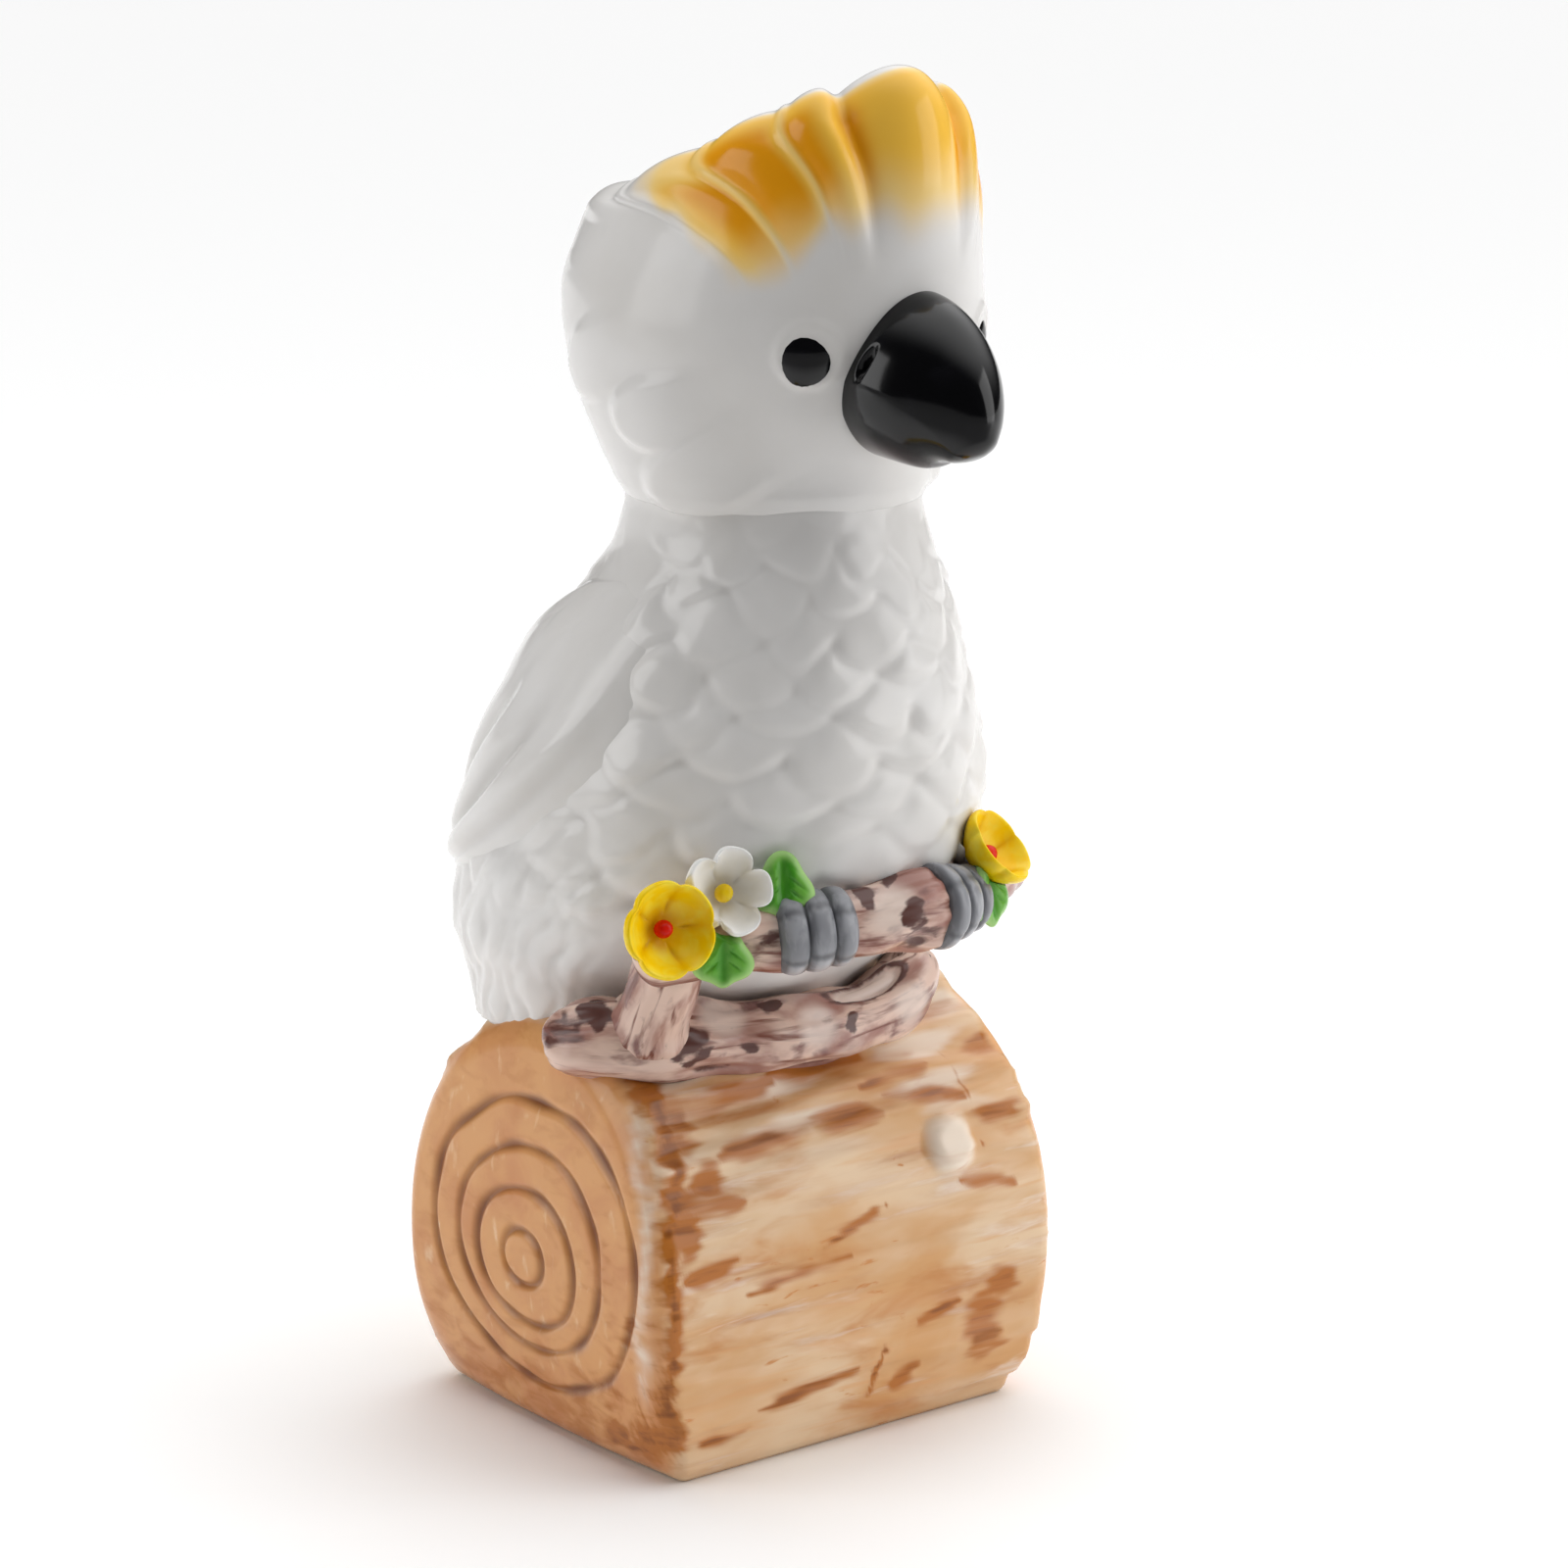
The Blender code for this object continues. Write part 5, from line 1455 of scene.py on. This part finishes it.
@dataclass
class Branch:
    """A pressed roll of clay along a path: its round ends, swellings and tool marks.

    A daub or a bare spot is a place and a size. The recess is a place, a half length and a half height.
    """

    path: Field
    radius: Callable[[Field], Field]
    reference: tuple[float, float, float] = (0.0, 0.0, 1.0)
    knobble: float = 0.0005
    seed: int = RANDOM_SEED
    columns: int = 80
    rows: int = 240
    daubs: SizeRows = ()
    bare: SizeRows = ()
    recess: tuple[float, float, float, float, float] | None = None
    recess_depth: float = 0.0011

    def shape(self, turn: Field, step: Field) -> tuple[Field, Paint]:
        """The branch's points and paints."""
        way = denser_ends(step)
        travelled = np.concatenate([[0.0], np.cumsum(np.linalg.norm(np.diff(self.path, axis=0), axis=1))])
        total = travelled[-1]
        at = way * total
        middle = np.stack([np.interp(at, travelled, self.path[:, part]) for part in range(3)], axis=-1)
        heading = unit(np.gradient(middle, axis=0))
        aside = unit(np.cross(heading, np.array(self.reference)))
        upright = np.cross(aside, heading)
        radius = self.radius(2 * way - 1)
        end = np.minimum(at, total - at)
        rounded = np.sqrt(np.clip(1 - (1 - np.minimum(end / (0.8 * radius), 1.0)) ** 2, 0.0, 1.0))
        around = 2 * math.pi * turn
        spoke = np.cos(around)[..., None] * aside + np.sin(around)[..., None] * upright
        straight = np.stack([at, radius * np.cos(around), radius * np.sin(around)], axis=-1)
        worked = ripple(straight, (0.016, 0.007, 0.007), self.seed, 12)
        scored = ripple(straight, (0.03, 0.0026, 0.0026), self.seed + 1, 12)
        lift = self.knobble * (worked + 0.35 * scored)
        points = middle + spoke * ((radius + lift) * rounded)[..., None]
        shade, pale = self.brushwork(points, worked, scored)
        if self.recess:
            inside, rim = self.scooped(points, at, around * radius)
            points = points - spoke * (self.recess_depth * inside)[..., None]
            pale = np.maximum(pale * (1 - rim), 0.85 * inside)
            # The recess's rim gets painted shade; its inside is paler.
            shade = np.maximum(shade * (1 - inside), 0.9 * rim)
        return points, {"straight": straight, "shade": shade, "pale": pale}

    def brushwork(self, points: Field, worked: Field, scored: Field) -> tuple[Field, Field]:
        """The painted shade with the daubs, and the paler clay, on the branch.

        Args:
            points: the branch's points.
            worked: the swellings, which are paler on top.
            scored: the tool marks, which get painted shade inside.

        Returns:
            How dark a point is, from painted shade and daubs, and how pale, from 0 to 1.
        """
        # Painted shade in the hollows of the swellings and in the tool marks; the daubs are the branch's
        # own dark colour.
        shade = 0.55 * soft_step(-0.5, -1.4, worked + 0.5 * scored)
        pale = 0.35 * soft_step(0.7, 1.4, worked)
        swirl = ripple(points, (0.0034, 0.0034, 0.0034), self.seed + 2, 14)
        for *place, size in self.bare:
            away = np.linalg.norm(points - np.array(place), axis=-1) / size
            pale = np.maximum(pale, 0.7 * soft_step(1.3, 0.5, away + 0.15 * worked))
        for *place, size in self.daubs:
            away = np.linalg.norm(points - np.array(place), axis=-1) / size
            shade = np.maximum(shade, 0.95 * soft_step(1.4, 0.6, away + 0.40 * swirl))
        return shade, pale

    def scooped(self, points: Field, at: Field, arc: Field) -> tuple[Field, Field]:
        """The oval recess in the branch.

        Args:
            points: the branch's points.
            at: how far along the branch each point is.
            arc: how far round the branch each point is.

        Returns:
            How much a point is inside the recess, and how near it is to the recess's rim, which gets
            painted shade, from 0 to 1.
        """
        *place, half_length, half_height = self.recess
        nearest = np.unravel_index(np.argmin(np.linalg.norm(points - np.array(place), axis=-1)), at.shape)
        away = np.hypot((at - at[nearest]) / half_length, (arc - arc[nearest]) / half_height)
        return soft_step(1.0, 0.72, away), bell(away - 1.02, 0.16)

    def mesh(self, name: str) -> bpy.types.Mesh:
        """The branch's mesh."""
        return rolled_skin(name, self.columns, self.rows, self.shape)


@dataclass
class LowerBranch:
    """The thick branch that lies across the log's top, in front of the bird."""

    log: Log
    # Shares of the log's half length and half depth, then how far the branch is sunk there
    route: SizeRows = (
        (-0.94, -0.12, 0.0048),
        (-0.89, -0.32, 0.0024),
        (-0.71, -0.48, 0.0004),
        (-0.38, -0.56, 0.0),
        (-0.06, -0.60, 0.0),
        (0.33, -0.58, 0.0),
        (0.55, -0.51, -0.0008),
        (0.66, -0.36, -0.0026),
    )
    thickness: float = 0.0058
    taper: float = 0.0008
    pressed: float = 0.0024
    knobble: float = 0.0006
    daubs: SizeRows = (
        (-0.0360, -0.0136, 0.0711, 0.0034),
        (-0.0248, -0.0231, 0.0660, 0.0026),
        (-0.0092, -0.0222, 0.0687, 0.0017),
        (-0.0150, -0.0250, 0.0640, 0.0014),
        (0.0040, -0.0262, 0.0650, 0.0013),
    )
    bare: SizeRows = (
        (-0.0180, -0.0215, 0.0690, 0.0040),
        (-0.0030, -0.0255, 0.0655, 0.0040),
        (0.0180, -0.0250, 0.0650, 0.0040),
    )
    recess: tuple[float, float, float, float, float] = (0.0104, -0.0211, 0.0687, 0.0092, 0.0021)

    def points(self) -> Field:
        """The branch's middle line, lying on the arched top."""
        along_share, across_share, sunk = np.array(self.route).T
        across = across_share * self.log.depth / 2
        height = self.log.top(across) + self.thickness - self.pressed - sunk
        return np.stack([along_share * self.log.length / 2, across, height], axis=-1)

    def radius(self, end: Field) -> Field:
        """The branch's radius from its right end at -1 to its left end at 1."""
        taper = self.thickness - self.taper * end
        return taper * (1 - 0.4 * end**8) * (1 + 0.05 * np.sin(9 * end))

    def build(self) -> None:
        """Makes the lower branch."""
        rows = self.points()
        branch = Branch(
            course(rows, np.linspace(0.0, len(rows) - 1, PATH_POINTS)),
            self.radius,
            knobble=self.knobble,
            seed=RANDOM_SEED + 20,
            daubs=self.daubs,
            bare=self.bare,
            recess=self.recess,
        )
        show(branch.mesh("thick_branch"), BRANCH, ["lower_branch"])


@dataclass
class Perch:
    """The bowed perch across the breast and the stump that carries its right end."""

    torso: Torso
    lower: LowerBranch
    thickness: float = 0.0050
    half_span: float = 0.0370
    rise: float = 0.0195
    bow: float = 0.0150
    droop: float = 0.0030
    at_level: float = 2.95
    pressed: float = 0.0012
    knot_along: float = 0.08
    knot_width: float = 0.14
    knot_swell: float = 0.0011
    tip_taper: float = 0.60
    taper_starts: float = 0.15
    stump_radius: float = 0.0050
    stump_along: float = -0.86
    stump_foot: float = 1.95
    knobble: float = 0.00045
    stump_knobble: float = 0.0004
    stump_points: int = 40
    stump_rows: int = 70
    daubs: SizeRows = (
        (-0.0069, -0.0415, 0.0896, 0.0021),
        (-0.0007, -0.0454, 0.0864, 0.0024),
        (-0.0014, -0.0404, 0.0907, 0.0016),
        (-0.0185, -0.0425, 0.0845, 0.0017),
    )
    bare: SizeRows = (
        (-0.0035, -0.0450, 0.0880, 0.0046),
        (-0.0195, -0.0410, 0.0870, 0.0030),
    )

    def point(self, share: Field) -> Field:
        """A point of the middle line, from -1 at the bird's right end to 1 at its left."""
        share = np.asarray(share, float)
        front = course(self.torso.rings, np.array(self.at_level))[2]
        start = -front - self.thickness + self.pressed
        height = self.torso.log.height + self.rise
        bowed = start + self.bow * share**2
        return np.stack([share * self.half_span, bowed, height - self.droop * share**2], axis=-1)

    def radius(self, share: Field) -> Field:
        """The radius along the perch, with a swelling knot between the feet and a thin left tip."""
        knot = bell(share - self.knot_along, self.knot_width)
        taper = 1 - self.tip_taper * soft_step(self.taper_starts, 1.0, share)
        return (self.thickness * (1 + 0.05 * np.sin(11 * share)) + self.knot_swell * knot) * taper

    def stump_spread(self, end: Field) -> Field:
        """The stump's radius, from its top at -1 to its spread foot at 1."""
        return self.stump_radius * (1.10 + 0.10 * end + 0.25 * soft_step(0.3, 1.0, end))

    def build(self) -> None:
        """Makes the perch and its stump."""
        perch = Branch(
            self.point(np.linspace(-1.0, 1.0, PATH_POINTS)),
            self.radius,
            knobble=self.knobble,
            seed=RANDOM_SEED + 30,
            daubs=self.daubs,
            bare=self.bare,
        )
        top = self.point(np.array(self.stump_along))
        foot = course(self.lower.points(), np.array(self.stump_foot))
        stump = Branch(
            top + (foot - top) * np.linspace(0.0, 1.0, self.stump_points)[:, None],
            self.stump_spread,
            reference=(0.0, 1.0, 0.0),
            knobble=self.stump_knobble,
            seed=RANDOM_SEED + 40,
            rows=self.stump_rows,
        )
        show(perch.mesh("bowed_perch"), BRANCH, ["perch"])
        show(stump.mesh("perch_stump"), BRANCH, ["perch"])


@dataclass
class Foot:
    """One foot: ridged toes that grip the perch, each with a bent knuckle and a nail."""

    perch: Perch
    side: Side
    along: float = 0.342
    shift: float = -0.037
    width: float = 0.0108
    toes: int = 3
    stands_out: float = 0.0021
    groove: float = 0.40
    buried: float = 0.0012
    wrap_start: float = -6.0
    wrap_end: float = 165.0
    knuckle: float = 0.34
    nail: float = 0.72
    outside_share: float = 0.75
    columns: int = 110
    rows: int = 70

    def shape(self, turn: Field, step: Field) -> tuple[Field, Paint]:
        """The foot's points and paints."""
        way = denser_ends(step, 0.5)
        centre = self.side.value * self.along + self.shift
        share = centre + (way - 0.5) * self.width / self.perch.half_span
        middle = self.perch.point(share)
        heading = unit(self.perch.point(share + 0.02) - self.perch.point(share - 0.02))
        forward = unit(np.cross(heading, np.array([0.0, 0.0, 1.0])))
        upright = np.cross(forward, heading)
        outside = turn <= self.outside_share
        wrap = np.where(outside, turn / self.outside_share, (1 - turn) / (1 - self.outside_share))
        turned = np.radians(self.wrap_start + (self.wrap_end - self.wrap_start) * wrap)
        toe = way * self.toes
        number = np.floor(np.clip(toe, 0, self.toes - 1e-6))
        aside = 2 * (toe - number) - 1
        ridge = np.sqrt(np.clip(1 - np.abs(aside) ** 2.6, 0.0, 1.0))
        bent = wrap + 0.04 * np.sin(2.1 * number)
        crease = bell(bent - self.knuckle, 0.035) + bell(bent - self.nail, 0.03)
        nail = soft_step(self.nail, self.nail + 0.05, bent)
        facet = 1 - 0.14 * crease - 0.22 * nail * np.abs(aside)
        ends = np.sqrt(1 - np.abs(2 * wrap - 1) ** 3) * np.sqrt(np.clip(1 - (2 * way - 1) ** 6, 0.0, 1.0))
        lift = (self.groove + (1 - self.groove) * ridge * facet) * self.stands_out
        radius = self.perch.radius(share) + np.where(outside, lift, -self.buried) * ends
        spoke = forward * np.sin(turned)[..., None] + upright * np.cos(turned)[..., None]
        # Painted shade between the toes and in the creases, and a painted highlight along the ridges,
        # strongest on the nails.
        painted_shade = np.maximum(soft_step(0.55, 0.1, ridge), 0.6 * crease) * outside
        light = soft_step(0.8, 1.0, ridge) * (0.35 + 0.65 * nail)
        return middle + spoke * radius[..., None], {"painted_shade": painted_shade, "ridge": 0.8 * light}

    def build(self) -> None:
        """Makes the foot."""
        node = f"{self.side.label}_foot"
        mesh = rolled_skin(node + "_toes", self.columns, self.rows, self.shape)
        show(mesh, CLAW, [node])


# Flowers and leaves


@dataclass(frozen=True)
class Sprig:
    """Where a pressed flower or leaf sits on the perch, which way it stands off, and which way it faces."""

    name: str
    along: float
    stand: tuple[float, float, float]
    face: tuple[float, float]
    radius: float
    spin: float = 0.0

    def place(self, perch: Perch) -> Matrix:
        """The sprig's place, with Z the way it faces."""
        azimuth, elevation, off = self.stand
        centre = Vector(perch.point(np.array(self.along))) + facing(azimuth, elevation) * off
        turn = facing(*self.face).to_track_quat("Z", "Y").to_matrix().to_4x4()
        return Matrix.Translation(centre) @ turn @ Matrix.Rotation(math.radians(self.spin), 4, "Z")


def facing(azimuth: float, elevation: float) -> Vector:
    """The direction at an angle round from the breast, positive to the left, and one above the horizon."""
    around, up = math.radians(azimuth), math.radians(elevation)
    return Vector((math.sin(around) * math.cos(up), -math.cos(around) * math.cos(up), math.sin(up)))


def placed(local: Field, place: Matrix) -> Field:
    """Points moved from a sprig's own frame to the figurine's."""
    return local @ np.array(place.to_3x3()).T + np.array(place.translation)


def tucked(points: Field, before: Sequence[Flower]) -> Field:
    """Points of a sprig, pressed in behind the flowers that were set before it.

    Args:
        points: the sprig's points.
        before: the flowers that lie over it.

    Returns:
        The points, moved back where a flower covers them.
    """
    for flower in before:
        place = flower.sprig.place(flower.perch)
        local = placed(points, place.inverted())
        away = np.hypot(local[..., 0], local[..., 1]) / flower.sprig.radius
        local[..., 2] = np.minimum(local[..., 2], flower.back(away))
        points = placed(local, place)
    return points


@dataclass
class Flower:
    """A cupped five-petal flower with a bead in its middle."""

    sprig: Sprig
    perch: Perch
    petals: Finish
    centre: Finish
    slots: tuple[str, str]
    notch: float = 0.10
    before: tuple[Flower, ...] = ()
    petal_count: int = 5
    thickness: float = 0.0017
    cup: float = 0.0034
    bead_radius: float = 0.0014
    fold_depth: float = 0.0007
    clear_height: float = 0.02
    columns: int = 120
    rows: int = 64

    def back(self, away: Field) -> Field:
        """The height just behind the flower at a share of its radius; beyond the rim it is soon clear."""
        clay, cup = self.thickness, self.cup
        shares = (0.0, 0.45, 0.82, 1.0, 1.2, 1.5)
        heights = (-1.1 * clay, -0.9 * clay, 0.15 * cup, 0.6 * cup, cup, self.clear_height)
        return np.interp(away, shares, heights)

    def profile(self) -> tuple[tuple[float, float], ...]:
        """The section from the back's middle over the rim to the cup's middle: radius share and height."""
        return (
            (0.0, -self.thickness),
            (0.45, -self.thickness * 0.8),
            (0.82, self.cup * 0.25),
            (1.0, self.cup * 0.85),
            (0.93, self.cup + self.thickness * 0.4),
            (0.62, self.cup * 0.45),
            (0.28, 0.0),
            (0.0, 0.0),
        )

    def shape(self, turn: Field, step: Field) -> tuple[Field, Paint]:
        """The flower's points and paints."""
        section = course(self.profile(), step * (len(self.profile()) - 1))
        share, height = np.maximum(section[..., 0], 0.0), section[..., 1]
        petal = np.abs(np.sin(self.petal_count * math.pi * turn))
        radius = self.sprig.radius * share * (1 - self.notch * share**2 * (1 - petal) ** 2)
        inside = soft_step(0.5, 0.7, step)
        fold = (1 - petal) ** 3 * soft_step(0.25, 0.6, share)
        height = height - self.fold_depth * fold * inside
        angle = 2 * math.pi * turn
        local = np.stack([radius * np.cos(angle), radius * np.sin(angle), height], axis=-1)
        # Painted shade in the middle of the cup and in the folds between petals.
        painted_shade = np.clip(0.6 * fold + 0.8 * soft_step(0.62, 0.15, share), 0, 1) * inside
        return tucked(placed(local, self.sprig.place(self.perch)), self.before), {"painted_shade": painted_shade}

    def build(self) -> None:
        """Makes the flower and its bead."""
        name = self.sprig.name
        mesh = rolled_skin(name + "_petals", self.columns, self.rows, self.shape)
        show(mesh, self.petals, [name])
        place = self.sprig.place(self.perch) @ Matrix.Translation((0.0, 0.0, self.bead_radius * 0.7))
        bead = Bead(self.bead_radius, place)
        show(bead.mesh(name + "_centre"), self.centre, [name + "_bead"])


@dataclass
class Leaf:
    """A three-lobed leaf on a short stem, with pressed veins."""

    sprig: Sprig
    perch: Perch
    before: tuple[Flower, ...] = ()
    thickness: float = 0.0022
    vein_depth: float = 0.0006
    lobes: float = 0.16
    stem: float = 0.30
    columns: int = 96
    rows: int = 48
    # The section from the back's middle round the edge to the front's: radius share, thickness share
    profile: tuple[tuple[float, float], ...] = (
        (0.0, -0.5),
        (0.75, -0.5),
        (1.0, 0.0),
        (0.7, 0.45),
        (0.3, 0.4),
        (0.0, 0.4),
    )

    def shape(self, turn: Field, step: Field) -> tuple[Field, Paint]:
        """The leaf's points and paints."""
        section = course(self.profile, step * (len(self.profile) - 1))
        share = np.clip(section[..., 0], 0.0, None)
        angle = 2 * math.pi * turn
        stem = self.stem * bell((turn - 0.75) * 18.0, 1.0)
        outline = self.sprig.radius * (1 + self.lobes * np.cos(3 * angle + math.pi / 2) + stem)
        across, along = share * outline * np.cos(angle), share * outline * np.sin(angle)
        front = soft_step(0.4, 0.6, step)
        vein = bell(across, 0.20 * self.sprig.radius) * soft_step(0.95, 0.6, share)
        branching = (along + 0.8 * np.abs(across)) / (0.42 * self.sprig.radius)
        side_vein = bell(branching - np.rint(branching), 0.16) * soft_step(0.9, 0.4, share)
        lines = np.maximum(vein, 0.5 * side_vein) * front
        height = section[..., 1] * self.thickness - self.vein_depth * lines
        local = np.stack([across, along, height], axis=-1)
        points = tucked(placed(local, self.sprig.place(self.perch)), self.before)
        # Painted shade in the pressed veins.
        return points, {"painted_shade": 0.8 * lines, "edge": 0.7 * soft_step(0.6, 1.0, share)}

    def build(self) -> None:
        """Makes the leaf."""
        name = self.sprig.name
        mesh = rolled_skin(name + "_blade", self.columns, self.rows, self.shape)
        show(mesh, LEAF, [name])


# Studio


@dataclass(frozen=True)
class SoftBox:
    """A square soft light, aimed at the middle of the figurine."""

    name: str
    place: tuple[float, float, float]
    size: float
    watts: float


@dataclass
class Studio:
    """The camera at the photograph's angle, a pale floor and soft light."""

    eye: tuple[float, float, float] = (-0.4201, -0.5517, 0.2618)
    azimuth: float = -38.0
    pitch: float = 13.3
    lens: float = 105.9
    near_clip: float = 0.01
    floor_colour: str = "#FDFDFD"
    floor_size: float = 40.0
    floor_roughness: float = 0.9
    # Grey painted onto the floor in front of the figurine: painted shade.
    floor_shade_colour: str = "#A0A0A0"
    floor_shade_span: tuple[float, float] = (0.11, 0.32)
    sky_low: float = 0.02
    sky_high: float = 2.12
    sky_towards: tuple[float, float, float] = (0.35, 0.14, 0.925)
    sky_span: tuple[float, float] = (0.4, 1.0)
    aim: tuple[float, float, float] = (0.0, 0.0, 0.10)
    boxes: tuple[SoftBox, ...] = (
        SoftBox("key_box", (0.72, -0.82, 0.40), 0.80, 4.9),
        SoftBox("side_box", (-0.85, 0.42, 0.45), 0.60, 3.1),
    )

    def set_camera(self) -> None:
        """Makes the camera."""
        data = bpy.data.cameras.new("camera")
        data.lens = self.lens
        data.clip_start = self.near_clip
        camera = bpy.data.objects.new("camera", data)
        camera.location = self.eye
        camera.rotation_euler = (math.radians(90.0 - self.pitch), 0.0, math.radians(self.azimuth))
        bpy.context.scene.collection.objects.link(camera)
        bpy.context.scene.camera = camera

    def set_light(self) -> None:
        """Makes the soft boxes and the white surround."""
        for box in self.boxes:
            data = bpy.data.lights.new(box.name, "AREA")
            data.shape = "SQUARE"
            data.size = box.size
            data.energy = box.watts
            light = bpy.data.objects.new(box.name, data)
            light.location = box.place
            towards = Vector(self.aim) - Vector(box.place)
            light.rotation_euler = towards.to_track_quat("-Z", "Y").to_euler()
            bpy.context.scene.collection.objects.link(light)
        world = bpy.data.worlds.new("white_surround")
        world.use_nodes = True
        tree = world.node_tree
        around = add_node(tree, "TexCoord").outputs["Generated"]
        bright_side = {0: around, 1: Vector(self.sky_towards).normalized()}
        alignment = add_node(tree, "VectorMath", bright_side, operation="DOT_PRODUCT").outputs["Value"]
        glow = smooth_ramp(tree, alignment, *self.sky_span, self.sky_low, self.sky_high)
        background = tree.nodes["Background"]
        background.inputs["Color"].default_value = linear("#FFFFFF")
        tree.links.new(glow, background.inputs["Strength"])
        bpy.context.scene.world = world
        bpy.context.scene.view_settings.view_transform = "Standard"

    def set_floor(self) -> None:
        """Makes the pale floor, painted grey in front of the figurine as painted shade, which keeps light
        off its breast.
        """
        sheet = bmesh.new()
        bmesh.ops.create_grid(sheet, x_segments=1, y_segments=1, size=self.floor_size / 2)
        mesh = bpy.data.meshes.new("floor")
        sheet.to_mesh(mesh)
        sheet.free()
        floor = bpy.data.objects.new("floor", mesh)
        material = bpy.data.materials.new("pale_paper")
        material.use_nodes = True
        tree = material.node_tree
        shader = tree.nodes["Principled BSDF"]
        place = add_node(tree, "TexCoord").outputs["Object"]
        forwards = Vector((self.eye[0], self.eye[1], 0.0)).normalized()
        ahead = add_node(tree, "VectorMath", {0: place, 1: forwards}, operation="DOT_PRODUCT")
        shaded = smooth_ramp(tree, ahead.outputs["Value"], *self.floor_shade_span)
        paper = {0: shaded, 6: linear(self.floor_colour), 7: linear(self.floor_shade_colour)}
        sheet_colour = add_node(tree, "Mix", paper, data_type="RGBA").outputs[2]
        tree.links.new(sheet_colour, shader.inputs["Base Color"])
        shader.inputs["Roughness"].default_value = self.floor_roughness
        mesh.materials.append(material)
        bpy.context.scene.collection.objects.link(floor)


YELLOW_FLOWERS = (
    Sprig("right_yellow_flower", -0.82, (-70.0, 31.0, 0.0083), (-10.0, 10.0), 0.0073),
    Sprig("left_yellow_flower", 0.54, (0.0, 73.0, 0.0062), (30.0, 39.0), 0.0064),
)
WHITE_FLOWERS = (
    Sprig("right_white_flower", -0.73, (1.0, 77.0, 0.0080), (-18.0, 18.0), 0.0067, 38.0),
    Sprig("left_white_flower", 0.49, (146.0, 66.0, 0.0062), (0.0, 50.0), 0.0042),
)
WHITE_NOTCH = 0.32
LEAVES = (
    Sprig("right_upper_leaf", -0.515, (-6.0, 73.0, 0.0083), (-30.0, 14.0), 0.0044),
    Sprig("right_lower_leaf", -0.79, (0.0, -3.0, 0.0064), (-30.0, -4.0), 0.0043),
    Sprig("left_leaf", 0.56, (-25.0, 14.0, 0.0068), (20.0, 8.0), 0.0047),
)


def build_sprigs(perch: Perch) -> None:
    """Makes every flower and leaf on the perch."""
    yellow_slots = ("yellow_enamel", "red_enamel")
    yellow = tuple(Flower(sprig, perch, YELLOW, RED_BEAD, yellow_slots) for sprig in YELLOW_FLOWERS)
    white_slots = ("white_glaze", "yellow_enamel")
    white = tuple(
        Flower(sprig, perch, WHITE_PETAL, YELLOW_BEAD, white_slots, notch=WHITE_NOTCH, before=yellow)
        for sprig in WHITE_FLOWERS
    )
    for flower in yellow + white:
        flower.build()
    for sprig in LEAVES:
        Leaf(sprig, perch, yellow + white).build()


def main() -> None:
    """Sets the studio, then builds the figurine from the log up."""
    logging.basicConfig(level=logging.INFO, format="%(message)s")
    studio = Studio()
    studio.set_camera()
    log = Log()
    torso = Torso(log)
    head = Head(torso)
    lower = LowerBranch(log)
    perch = Perch(torso, lower)
    for part in (log, torso, head, Beak(head), Tail(torso), lower, perch):
        part.build()
    for side in Side:
        Wing(torso, side).build()
        Foot(perch, side).build()
    build_sprigs(perch)
    studio.set_floor()
    studio.set_light()


if __name__ == "__main__":
    main()
